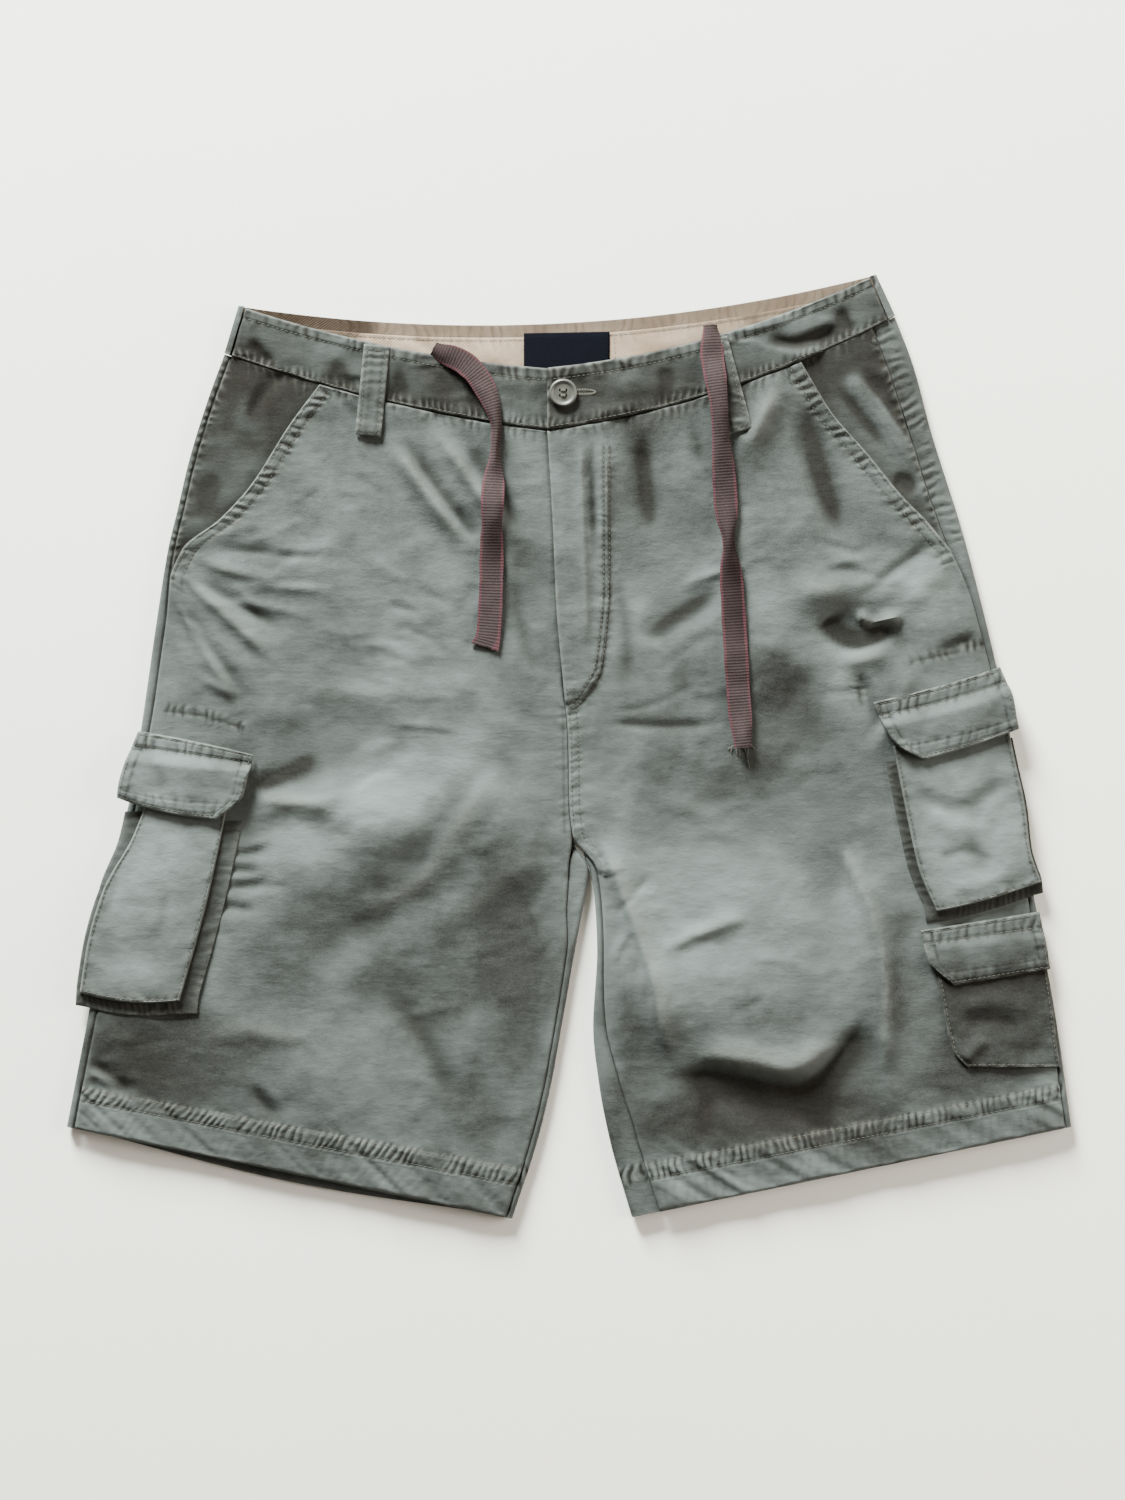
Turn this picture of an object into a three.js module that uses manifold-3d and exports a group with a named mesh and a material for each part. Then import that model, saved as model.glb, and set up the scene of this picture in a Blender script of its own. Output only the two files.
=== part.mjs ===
// Cargo shorts, fastened and laid flat on their back, in millimetres.
// +X points to the wearer's left, +Y to the waist and +Z out of the front. The back rests on z = 0.

import * as THREE from "three";
import { mergeVertices } from "three/addons/utils/BufferGeometryUtils.js";
import Module from "manifold-3d";

const wasm = await Module();
wasm.setup();

// Layers of cloth and the room between them
const seamGap = 0.3;
const restGap = 0.5;
const layer = 1.4;
const thickestLayer = 3;
const legEdgeHeight = 6;
const crownRise = 1.2;
const crownFade = 30;
const crotchStart = { v: 0.576, turn: 0.03 };
const cornerRoom = 0.5;
const centreStep = 1.4;

// Doubled cloth: the hems, and the fly under the left front
const hemStart = 0.947;
const hemStep = 0.004;
const hemRise = 0.7;
const flyLift = 1.9;
const flySlope = 8;
const flyFoot = { y: 20, fade: 10 };
const flyUnderlap = 8;
const flyUnderlapEnd = { v: 0.35, fade: 0.1 };
const flyCurve = [
  { y: 27, x: -6 },
  { y: 31, x: 6 },
  { y: 49, x: 18 },
  { y: 93, x: 23.5 },
  { y: 193, x: 22 },
];

// Slant pocket mouths
const mouthEnd = 0.29;
const mouthLift = 2.2;
const mouthLiftReach = 45;
const mouthFade = 0.06;
const facingTuck = 10;
const facingDrop = 0.8;
const facingSlope = 6;

// Waistband
const bandHeight = 7.7;
const bandLayer = 2.4;
const bandWrap = 4;
const bandTop = { right: { x: -212, y: 282 }, left: { x: 197, y: 302 } };
const bandFrontTopCentre = { x: -14, y: 242 };
const bandFrontBow = { right: -6.5, left: -10 };
const bandBackBow = -21;
const bandOverlap = { lift: 2.7, end: 12, margin: 4, fade: 50 };
const backRise = { height: 31, end: 0.45 };
const backWaistEase = 0.6;
const bandSideEase = 0.8;
const backHemDrop = { right: 6, left: 0 };

// A table whose rows give the values of the named columns in their order
const tableOf = (columns, rows) => rows.map((row) => Object.fromEntries(columns.map((name, i) => [name, row[i]])));

// One row per section from the waist seam (v = 0) to the hem (v = 1), wearer's right leg.
// outer and inner: the leg's two edges. wrapOut and wrapIn: how far the back panel turns onto the front there.
// mouth: how far in the slant mouth lies. bow: how far the section sags towards the hem at its middle.
const legColumns = ["v", "outerX", "outerY", "innerX", "innerY", "wrapOut", "wrapIn", "mouth", "bow"];
const rightLeg = tableOf(legColumns, [
  [0.0, -221, 251, -14, 202, 4, 0, 63, -6],
  [0.06, -232, 221, -12, 170, 4, 0, 54, -5.5],
  [0.14, -244, 182, -10, 132, 4, 0, 43.5, -5],
  [0.2, -251, 152, -9, 107, 4, 0, 28, -4],
  [0.25, -257, 127, -8, 87, 4, 0, 9, -3.5],
  [0.35, -265, 77, -4, 42, 6, 0, 0, -2.5],
  [0.45, -272, 28, -0.5, 1, 6, 0, 0, -1.5],
  [0.53, -278, -12, 0, -35, 5, 0, 0, -1],
  [0.576, -282, -35, 1.9, -57, 5, 0, 0, 0],
  [0.618, -287, -56, 12.8, -81, 5, 13, 0, 0],
  [0.661, -291, -77, 8.6, -106, 5, 10, 0, 0],
  [0.703, -295, -97, 3.8, -131, 5, 5, 0, 0],
  [0.788, -303, -140, -4.8, -180, 5, 4, 0, 0],
  [0.852, -308, -171, -11.5, -217, 5, 4, 0, 0],
  [0.915, -314, -202, -20.2, -253, 5, 4, 0, 0],
  [1.0, -322, -244, -36.5, -303, 5, 4, 0, 0],
]);

// The same columns for the wearer's left leg
const leftLeg = tableOf(legColumns, [
  [0.0, 209, 275, -14, 202, 15, 0, 64, -11],
  [0.06, 221, 243, -12, 170, 15, 0, 59, -9.5],
  [0.14, 232, 202, -10, 132, 13, 0, 42, -7.5],
  [0.2, 242, 170, -9, 107, 13, 0, 30, -6],
  [0.25, 250, 145, -8, 87, 12.5, 0, 18, -5],
  [0.35, 264, 93, -4, 42, 5, 0, 0, -3],
  [0.45, 276, 42, -0.5, 1, 4, 0, 0, -1.5],
  [0.53, 284, 0, 0, -35, 4, 0, 0, -1],
  [0.576, 287, -24, 2.3, -57, 4, 0, 0, 0],
  [0.618, 290, -46, 13.8, -81, 4, 4, 0, 0],
  [0.661, 293, -68, 17, -106, 4, 4, 0, 0],
  [0.703, 297, -90, 18, -131, 4, 4, 0, 0],
  [0.788, 305, -134, 15.4, -180, 4, 8, 0, 0],
  [0.852, 311, -167, 19.2, -217, 4, 13, 0, 0],
  [0.915, 316, -200, 26.2, -253, 4, 17, 0, 0],
  [1.0, 322, -244, 40.3, -302, 4, 18, 0, 0],
]);

// Largest folds of the fronts: centre, direction in degrees, half length, half width and height
const foldColumns = ["x", "y", "turn", "length", "width", "height"];
const rightFolds = tableOf(foldColumns, [
  [-86, 159, -53, 37, 11, 2.2],
  [-57, 164, -51, 40, 10, 1.8],
  [-134, -44, -8, 60, 20, 4],
  [-176, -38, -20, 30, 11, -2.2],
  [-60, -35, 50, 40, 13, -2],
  [-128, -115, 35, 50, 13, -2],
  [-50, -252, 60, 18, 12, -1.4],
  [-222, 62, -60, 30, 11, 2],
  [-80, -190, 40, 55, 26, 1.8],
]);
const leftFolds = tableOf(foldColumns, [
  [24, 165, 90, 36, 11, 1.6],
  [124, 213, 65, 28, 11, 2],
  [163, 172, 105, 50, 11, -2],
  [184, 74, -4, 28, 13, -2.6],
  [173, 100, 8, 30, 11, 3],
  [71, 84, 32, 34, 11, -1.6],
  [150, 17, 80, 30, 15, -2],
  [166, -70, 93, 60, 13, -2.2],
  [192, -140, 101, 80, 11, 3.6],
  [45, -132, 107, 75, 11, 2.4],
  [126, -166, 4, 62, 26, 4],
  [124, -224, -8, 55, 13, -2],
]);

// Pocket pieces: one row per section of the piece from its top (b = 0) to its bottom (b = 1)
const pocketColumns = ["b", "leftX", "leftY", "rightX", "rightY", "bow"];
const cargoRightFace = tableOf(pocketColumns, [
  [0.0, -280, -28, -218, -36, 0],
  [0.25, -286, -60, -224, -66, -1],
  [0.5, -299, -92, -231, -98, -2],
  [0.75, -308, -126, -240, -132, -2],
  [1.0, -313, -158, -249, -163, -3.5],
]);
const cargoRightFlap = tableOf(pocketColumns, [
  [0.0, -276, 9.6, -202, -5.8, 1],
  [0.5, -285, -14, -206, -20, -1],
  [1.0, -289, -34, -214, -44, -5],
]);
const cargoLeftFace = tableOf(pocketColumns, [
  [0.0, 207, 0, 280, 17, 0],
  [0.25, 212, -25, 286, -12, 0],
  [0.5, 217, -50, 292, -40, -1],
  [0.75, 224, -80, 295, -66, -1],
  [1.0, 235, -106, 302, -87, -1.5],
]);
const cargoLeftFlap = tableOf(pocketColumns, [
  [0.0, 194.6, 28, 276, 50.6, -1],
  [0.5, 202, 8, 284, 30, -2],
  [1.0, 210, -7, 287.5, 11, -3],
]);
const patchLeftFace = tableOf(pocketColumns, [
  [0.0, 234, -138, 304, -130, 0],
  [0.4, 239, -166, 309, -160, 0],
  [0.85, 246, -196, 313, -195, 0],
  [1.0, 255, -206, 315, -206, 0],
]);
const patchLeftFlap = tableOf(pocketColumns, [
  [0.0, 225, -118, 301, -106, 0],
  [0.6, 230, -139, 306, -130, 0],
  [1.0, 246, -153.5, 308, -142.7, 0],
]);
const cargoLift = 5;
const patchLift = 2;
const pocketLayer = 1.4;
const flapStitchedShare = 0.2;
const flapClearShare = 0.42;
const pocketMouthShare = 0.75;
const pocketMouthFade = 0.3;
const gussetTuck = 2.5;
const gussetFrom = 0.1;
const gussetMiddle = 0.4;
const gussetReach = { right: { left: 3, bottom: 8, right: 11 }, left: { left: 9, bottom: 7, right: 1.5 } };

// Waistband fittings
const facingStrip = { topInset: 8, depth: 28, from: 0.07, to: 0.93, thickness: 1 };
const label = { left: -29, right: 26, top: 265.5, bottom: 238, tilt: 0.018, thickness: 1 };
const button = { x: -3.8, y: 225.6, radius: 9, thickness: 2.8, rim: 1.8, dish: 0.7 };
const buttonHole = { radius: 1, spacing: 3.4 };
const loopWidth = 16.6;
const loopThickness = 1.6;
const loopArch = 1.1;
const loopSeamShare = 0.9;
const loopRight = { topX: -122.9, topY: 256.4, bottomX: -128.6, bottomY: 198.4 };
const loopLeft = { topX: 93, topY: 260.4, bottomX: 109.4, bottomY: 201 };

// Drawstring: flat tape, its middle line from the top of the band to the free end
const tapeWidth = 16;
const tapeThickness = 1.6;
const tapeClearance = 0.7;
const tapeBandEnd = 194;
const tapeOverLoop = { reach: 14, height: 11.2 };
const tapeRightLine = tableOf(["x", "y"], [
  [-81, 252], [-68.5, 246], [-55.7, 231], [-48.5, 215], [-46.5, 199], [-47.4, 183],
  [-48.6, 164], [-49.3, 144], [-50, 119], [-50.6, 93], [-51.8, 64.6],
]);
const tapeLeftLine = tableOf(["x", "y"], [
  [91, 261], [91, 253], [93.4, 234], [96, 208.6], [98, 189.4], [99.2, 170],
  [100.5, 151], [103.2, 125], [105.3, 93.4], [107.5, 61.4], [109.4, 29.4], [112, -5.8],
]);

// Counts of cells
const frontColumns = 19;
const legRows = 30;
const backSteps = 7;
const arcSteps = 4;
const hipRows = 11;
const hipColumns = 6;
const bandColumns = 20;
const bandRows = 3;
const bandBackSteps = 14;
const stripColumns = 14;
const stripRows = 2;
const loopSteps = 10;
const tapeSteps = 34;
const gussetSideSteps = 6;
const gussetBottomSteps = 5;
const buttonSides = 40;
const holeSides = 12;

const clamp01 = (t) => Math.min(1, Math.max(0, t));
const smooth = (t) => clamp01(t) ** 2 * (3 - 2 * clamp01(t));
const mix = (a, b, t) => a + (b - a) * t;

// Reads a column of a table at any place between its rows, along a curve that never overshoots them.
function read(table, key, column, at) {
  const last = table.length - 1;
  if (at <= table[0][key]) return table[0][column];
  if (at >= table[last][key]) return table[last][column];
  const slope = (i) => (table[i + 1][column] - table[i][column]) / (table[i + 1][key] - table[i][key]);
  const tangent = (i) => {
    if (i === 0) return slope(0);
    if (i === last) return slope(last - 1);
    const [before, after] = [slope(i - 1), slope(i)];
    return before * after <= 0 ? 0 : (2 * before * after) / (before + after);
  };
  const i = table.findIndex((row) => row[key] > at) - 1;
  const span = table[i + 1][key] - table[i][key];
  const t = (at - table[i][key]) / span;
  const a = table[i][column];
  const b = table[i + 1][column];
  return (
    a * (1 + 2 * t) * (1 - t) ** 2 +
    b * t * t * (3 - 2 * t) +
    span * t * (1 - t) * (tangent(i) * (1 - t) - tangent(i + 1) * t)
  );
}

const legs = {
  right: { table: rightLeg, folds: rightFolds, outward: -1 },
  left: { table: leftLeg, folds: leftFolds, outward: 1 },
};

// A section of a leg: its two end points, length and turned widths at v
function section(side, v) {
  const row = (column) => read(legs[side].table, "v", column, v);
  const outer = new THREE.Vector2(row("outerX"), row("outerY"));
  const inner = new THREE.Vector2(row("innerX"), row("innerY"));
  return { v, outer, inner, length: outer.distanceTo(inner), bow: row("bow"), mouth: row("mouth"),
    wrapOut: row("wrapOut"), wrapIn: row("wrapIn") };
}

// The point at share u of a section, from its outer end
function along(cut, u) {
  const point = cut.outer.clone().lerp(cut.inner, u);
  point.y += cut.bow * 4 * u * (1 - u);
  return point;
}

// The same on the back panel, whose waist seam is higher at the centre and whose hem may hang lower
function alongBack(side, cut, u) {
  const point = along(cut, u);
  const rise = backRise.height * (1 - clamp01(cut.v / backRise.end)) ** 2;
  const drop = backHemDrop[side] * smooth((cut.v - 0.85) / 0.15);
  point.y += rise * smooth(u) ** 2 - drop * 16 * u * u * (1 - u) ** 2;
  return point;
}

// X of a leg's edge at height y, between the table's rows
function edgeX(side, edge, y) {
  const rows = legs[side].table;
  const i = Math.max(1, rows.findIndex((row) => row[`${edge}Y`] <= y));
  const [a, b] = [rows[i - 1], rows[i]];
  const t = clamp01((y - a[`${edge}Y`]) / (b[`${edge}Y`] - a[`${edge}Y`]));
  return mix(a[`${edge}X`], b[`${edge}X`], t);
}

const crotchY = leftLeg.find((row) => row.wrapIn > 0).innerY;

// Height of the top of the cloth of a leg, without what is doubled or lifted
function drape(side, x, y) {
  const { outward, folds } = legs[side];
  const lowest = legs[side].table.at(-1);
  const fromOuter = outward * (edgeX(side, "outer", Math.max(y, lowest.outerY)) - x);
  const fromInner = y > crotchY ? crownFade : outward * (x - edgeX(side, "inner", Math.max(y, lowest.innerY)));
  const fade = smooth(fromOuter / crownFade) * smooth(fromInner / crownFade);
  let relief = crownRise;
  for (const fold of folds) {
    const turn = THREE.MathUtils.degToRad(fold.turn);
    const [dx, dy] = [x - fold.x, y - fold.y];
    const lengthwise = (dx * Math.cos(turn) + dy * Math.sin(turn)) / fold.length;
    const across = (dy * Math.cos(turn) - dx * Math.sin(turn)) / fold.width;
    relief += fold.height * Math.exp(-lengthwise * lengthwise - across * across);
  }
  return legEdgeHeight + fade * relief;
}

// Where the front panel of a leg starts and ends along a section
function frontSpan(side, cut) {
  const underlap = side === "right" ? flyUnderlap * smooth((flyUnderlapEnd.v - cut.v) / flyUnderlapEnd.fade) : 0;
  const start = Math.max(cut.wrapOut + seamGap, cut.mouth);
  const end = cut.length - cut.wrapIn - Math.min(cut.wrapIn, seamGap) - seamGap / 2 + underlap;
  return { start, end };
}

const mouthLiftAt = (cut, fromMouth) =>
  mouthLift * clamp01(1 - fromMouth / mouthLiftReach) ** 2 * (1 - smooth((cut.v - mouthEnd) / mouthFade));

function flyLiftAt(x, y) {
  const edge = read(flyCurve, "y", "x", y);
  return flyLift * smooth((edge - x) / flySlope + 1) * smooth((y - flyFoot.y) / flyFoot.fade);
}

function frontTop(side, cut, distance) {
  const point = along(cut, distance / cut.length);
  let z = drape(side, point.x, point.y) + mouthLiftAt(cut, distance - frontSpan(side, cut).start);
  if (side === "left") z += flyLiftAt(point.x, point.y);
  if (cut.v > hemStart) z += hemRise;
  return new THREE.Vector3(point.x, point.y, z);
}

// A closed wall between two grids of points of the same size
function wall(topGrid, bottomGrid) {
  const rows = topGrid.length;
  const columns = topGrid[0].length;
  const points = [...topGrid.flat(), ...bottomGrid.flat()];
  const top = (r, c) => r * columns + c;
  const bottom = (r, c) => rows * columns + r * columns + c;
  const index = [];
  const quad = (a, b, c, d) => index.push(a, b, c, a, c, d);
  for (let r = 0; r < rows - 1; r += 1) {
    for (let c = 0; c < columns - 1; c += 1) {
      quad(top(r, c), top(r + 1, c), top(r + 1, c + 1), top(r, c + 1));
      quad(bottom(r, c), bottom(r, c + 1), bottom(r + 1, c + 1), bottom(r + 1, c));
    }
  }
  for (let r = 0; r < rows - 1; r += 1) {
    quad(top(r, 0), bottom(r, 0), bottom(r + 1, 0), top(r + 1, 0));
    quad(top(r, columns - 1), top(r + 1, columns - 1), bottom(r + 1, columns - 1), bottom(r, columns - 1));
  }
  for (let c = 0; c < columns - 1; c += 1) {
    quad(top(0, c), top(0, c + 1), bottom(0, c + 1), bottom(0, c));
    quad(top(rows - 1, c), bottom(rows - 1, c), bottom(rows - 1, c + 1), top(rows - 1, c + 1));
  }
  let volume = 0;
  for (let i = 0; i < index.length; i += 3) {
    const [a, b, c] = [points[index[i]], points[index[i + 1]], points[index[i + 2]]];
    volume += a.dot(b.clone().cross(c));
  }
  if (volume < 0) index.reverse();
  const geometry = new THREE.BufferGeometry();
  geometry.setAttribute("position", new THREE.Float32BufferAttribute(points.flatMap((p) => p.toArray()), 3));
  geometry.setIndex(index);
  return geometry;
}

const lowered = (grid, drop) => grid.map((row) => row.map((p) => new THREE.Vector3(p.x, p.y, p.z - drop(p))));

// Thickness of the front cloth, which a fold bunches up
const bunching = 0.35;
const panelLayer = (side, p) => {
  const rise = drape(side, p.x, p.y) - legEdgeHeight - crownRise;
  return THREE.MathUtils.clamp(layer + bunching * rise, layer, thickestLayer);
};

// Rows of a leg: evenly spaced, with a close pair at the top of the hem
function legSections(side, from, to, count) {
  const places = Array.from({ length: count }, (_, i) => mix(from, to, i / (count - 1)));
  return places.map((v) => section(side, v));
}

const hemCuts = (side) => [
  ...legSections(side, 0, hemStart, legRows - 2),
  section(side, hemStart + hemStep),
  section(side, 1),
];

function frontPanel(side) {
  const cuts = hemCuts(side);
  const topGrid = cuts.map((cut) => {
    const { start, end } = frontSpan(side, cut);
    const shares = Array.from({ length: frontColumns + 1 }, (_, c) => c / frontColumns);
    return shares.map((share) => frontTop(side, cut, mix(start, end, share)));
  });
  const bottomGrid = topGrid.map((row, r) => {
    const doubled = cuts[r].v > hemStart ? hemRise : 0;
    return row.map((p) => new THREE.Vector3(p.x, p.y, p.z - panelLayer(side, p) - doubled));
  });
  return wall(topGrid, bottomGrid);
}

// Section of a tray: turned up at the outer end, flat on z = 0, and turned up at the inner end by the share innerTurn
// Gives distance along the section and height, for a face that lies inset from the outside.
function traySection(length, height, wrapOut, wrapIn, innerTurn, inset, flatSteps) {
  const middle = height / 2;
  const radius = middle - inset;
  const turned = (wrap) => {
    const points = [{ s: wrap, z: height - inset }];
    for (let i = 0; i <= arcSteps; i += 1) {
      const angle = Math.PI / 2 + (Math.PI * i) / arcSteps;
      points.push({ s: middle + radius * Math.cos(angle), z: middle + radius * Math.sin(angle) });
    }
    return points;
  };
  const outer = turned(wrapOut);
  const inner = turned(Math.max(wrapIn, middle + cornerRoom)).map((p) => ({ s: length - p.s, z: p.z }));
  const blended = inner.map((p, i) => ({
    s: mix(length - seamGap / 2 - centreStep * i, p.s, innerTurn),
    z: mix(inset, p.z, innerTurn),
  }));
  const flat = [];
  for (let i = 1; i < flatSteps; i += 1) {
    flat.push({ s: mix(outer.at(-1).s, blended.at(-1).s, i / flatSteps), z: inset });
  }
  return [...outer, ...flat, ...blended.reverse()];
}

function backPanel(side) {
  const rows = (inset) =>
    hemCuts(side).map((cut) => {
      const innerTurn = smooth((cut.v - crotchStart.v) / crotchStart.turn);
      const points = traySection(cut.length, legEdgeHeight, cut.wrapOut, cut.wrapIn, innerTurn, inset, backSteps);
      return points.map((p) => {
        const point = alongBack(side, cut, p.s / cut.length);
        return new THREE.Vector3(point.x, point.y, p.z);
      });
    });
  return wall(rows(0), rows(layer));
}

// The cloth that shows in a slant mouth, tucked under the front panel
function hipFacing(side) {
  const topGrid = legSections(side, 0, mouthEnd, hipRows).map((cut) => {
    const start = cut.wrapOut + seamGap;
    const end = Math.max(cut.mouth, start) + facingTuck;
    return Array.from({ length: hipColumns + 1 }, (_, c) => {
      const distance = mix(start, end, c / hipColumns);
      const point = along(cut, distance / cut.length);
      const drop = facingDrop * smooth((distance - start) / Math.max(facingSlope, cut.mouth - start));
      return new THREE.Vector3(point.x, point.y, drape(side, point.x, point.y) - drop);
    });
  });
  return wall(topGrid, lowered(topGrid, () => layer));
}

// Waistband edges: the lower one follows the waist seam, the upper one its own line
function bandPoint(side, u, t) {
  const low = along(section(side, 0), u);
  const high = new THREE.Vector2(bandTop[side].x, bandTop[side].y).lerp(bandFrontTopCentre, u);
  high.y += bandFrontBow[side] * 4 * u * (1 - u);
  low.y += seamGap;
  return low.lerp(high, t);
}

function bandTopHeight(side, x) {
  if (side === "right") return bandHeight;
  const past = x - bandOverlap.end - bandOverlap.margin;
  return bandHeight + bandOverlap.lift * (1 - smooth(past / (bandOverlap.fade - bandOverlap.end)));
}

function frontBand(side) {
  const length = section(side, 0).length;
  const start = (bandWrap + seamGap + bandSideEase) / length;
  const underlap = side === "right" ? (bandOverlap.end - bandFrontTopCentre.x) / length : 0;
  const topGrid = Array.from({ length: bandRows + 1 }, (_, r) =>
    Array.from({ length: bandColumns + 1 }, (_, c) => {
      const u = mix(start, 1 + underlap, c / bandColumns);
      const point = u > 1 ? bandPoint("left", 2 - u, r / bandRows) : bandPoint(side, u, r / bandRows);
      return new THREE.Vector3(point.x, point.y, bandTopHeight(side, point.x));
    }),
  );
  return wall(topGrid, lowered(topGrid, () => bandLayer));
}

// A point of the back waistband: w runs from the wearer's right side to the left side, t from seam to top
function backBandPoint(w, t) {
  const [side, u] = w < 0.5 ? ["right", 2 * w] : ["left", 2 * (1 - w)];
  const low = alongBack(side, section(side, 0), u);
  low.y += seamGap + backWaistEase;
  const high = new THREE.Vector2(mix(bandTop.right.x, bandTop.left.x, w), mix(bandTop.right.y, bandTop.left.y, w));
  high.y += bandBackBow * 4 * w * (1 - w);
  return low.lerp(high, t);
}

function backBand() {
  const rows = (inset) =>
    Array.from({ length: bandRows + 1 }, (_, r) => r / bandRows).map((t) => {
      const length = backBandPoint(0, t).distanceTo(backBandPoint(1, t));
      const points = traySection(length, bandHeight, bandWrap, bandWrap, 1, inset, bandBackSteps);
      return points.map((p) => {
        const point = backBandPoint(p.s / length, t);
        return new THREE.Vector3(point.x, point.y, p.z);
      });
    });
  return wall(rows(0), rows(bandLayer));
}

function waistFacing() {
  const z = bandLayer + seamGap + facingStrip.thickness;
  const topGrid = Array.from({ length: stripRows + 1 }, (_, r) =>
    Array.from({ length: stripColumns + 1 }, (_, c) => {
      const point = backBandPoint(mix(facingStrip.from, facingStrip.to, c / stripColumns), 1);
      const down = facingStrip.topInset + (facingStrip.depth * r) / stripRows;
      return new THREE.Vector3(point.x, point.y - down, z);
    }),
  );
  return wall(topGrid, lowered(topGrid, () => facingStrip.thickness));
}

function waistLabel() {
  const z = bandLayer + 2 * seamGap + facingStrip.thickness + label.thickness;
  const topGrid = [label.top, label.bottom].map((y) =>
    [label.left, label.right].map((x) => new THREE.Vector3(x, y - label.tilt * (label.right - x), z)),
  );
  return wall(topGrid, lowered(topGrid, () => label.thickness));
}

// Height of the outside of the front at any point: the waistband above its seam, the panel below it
function outside(side, x, y) {
  const rows = legs[side].table;
  const u = clamp01((x - rows[0].outerX) / (rows[0].innerX - rows[0].outerX));
  const seam = bandPoint(side, u, 0).y;
  if (y > seam) return bandTopHeight(side, x);
  const fly = side === "left" ? flyLiftAt(x, y) : 0;
  return drape(side, x, y) + fly;
}

function beltLoop(side, place) {
  const axis = new THREE.Vector2(place.bottomX - place.topX, place.bottomY - place.topY);
  const acrossX = -axis.y / axis.length();
  const acrossY = axis.x / axis.length();
  const topGrid = Array.from({ length: loopSteps + 1 }, (_, r) => {
    const t = r / loopSteps;
    const middle = new THREE.Vector2(mix(place.topX, place.bottomX, t), mix(place.topY, place.bottomY, t));
    const arch = loopArch * Math.sin(Math.PI * t);
    const offsets = [-loopWidth / 2, 0, loopWidth / 2];
    const heights = offsets.map((d) => outside(side, middle.x + acrossX * d, middle.y + acrossY * d));
    const z = Math.max(...heights, t < loopSeamShare ? bandHeight : 0) + restGap + arch + loopThickness;
    return offsets.map((d) => new THREE.Vector3(middle.x + acrossX * d, middle.y + acrossY * d, z));
  });
  return wall(topGrid, lowered(topGrid, () => loopThickness));
}

// Flat tape that comes over the top edge of the band and lies on the front
function drawstring(side, line, over) {
  const middle = line.map((p) => {
    const heights = [-0.5, 0, 0.5].map((d) => outside(side, p.x + d * tapeWidth, p.y));
    const clear = Math.max(...heights, p.y > over.to ? over.height : 0, p.y > tapeBandEnd ? bandHeight : 0);
    return new THREE.Vector3(p.x, p.y, clear + tapeClearance + tapeThickness);
  });
  const path = new THREE.CatmullRomCurve3(middle, false, "centripetal");
  const topGrid = Array.from({ length: tapeSteps + 1 }, (_, i) => {
    const point = path.getPoint(i / tapeSteps);
    const run = path.getTangent(i / tapeSteps).setZ(0).normalize();
    return [-0.5, -0.4, 0, 0.4, 0.5].map((d) => {
      const edge = Math.abs(d) === 0.5 ? tapeThickness / 4 : 0;
      return new THREE.Vector3(point.x - run.y * d * tapeWidth, point.y + run.x * d * tapeWidth, point.z - edge);
    });
  });
  const thickness = (c) => (c === 0 || c === 4 ? tapeThickness / 2 : tapeThickness);
  const bottomGrid = topGrid.map((row) => row.map((p, c) => new THREE.Vector3(p.x, p.y, p.z - thickness(c))));
  return wall(topGrid, bottomGrid);
}

// Pocket pieces: a patch is a stack of sections between two side edges
function patchPoint(table, a, b) {
  const row = (column) => read(table, "b", column, b);
  const x = mix(row("leftX"), row("rightX"), a);
  const y = mix(row("leftY"), row("rightY"), a) + row("bow") * 4 * a * (1 - a);
  return new THREE.Vector2(x, y);
}

function patch(table, columns, rows, height) {
  const topGrid = Array.from({ length: rows + 1 }, (_, r) =>
    Array.from({ length: columns + 1 }, (_, c) => {
      const point = patchPoint(table, c / columns, r / rows);
      return new THREE.Vector3(point.x, point.y, height(point, r / rows, c / columns));
    }),
  );
  return wall(topGrid, lowered(topGrid, () => pocketLayer));
}

const pocketTop = (side, lift) => (point, b) =>
  drape(side, point.x, point.y) + mix(pocketMouthShare * lift, lift, smooth(b / pocketMouthFade));

// A flap is stitched down along its top, then climbs onto the pocket and lies on it
const flapTop = (side, lift) => (point, b) => {
  const climb = smooth((b - flapStitchedShare) / (flapClearShare - flapStitchedShare));
  const low = restGap + pocketLayer;
  return drape(side, point.x, point.y) + low + climb * lift;
};

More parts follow.
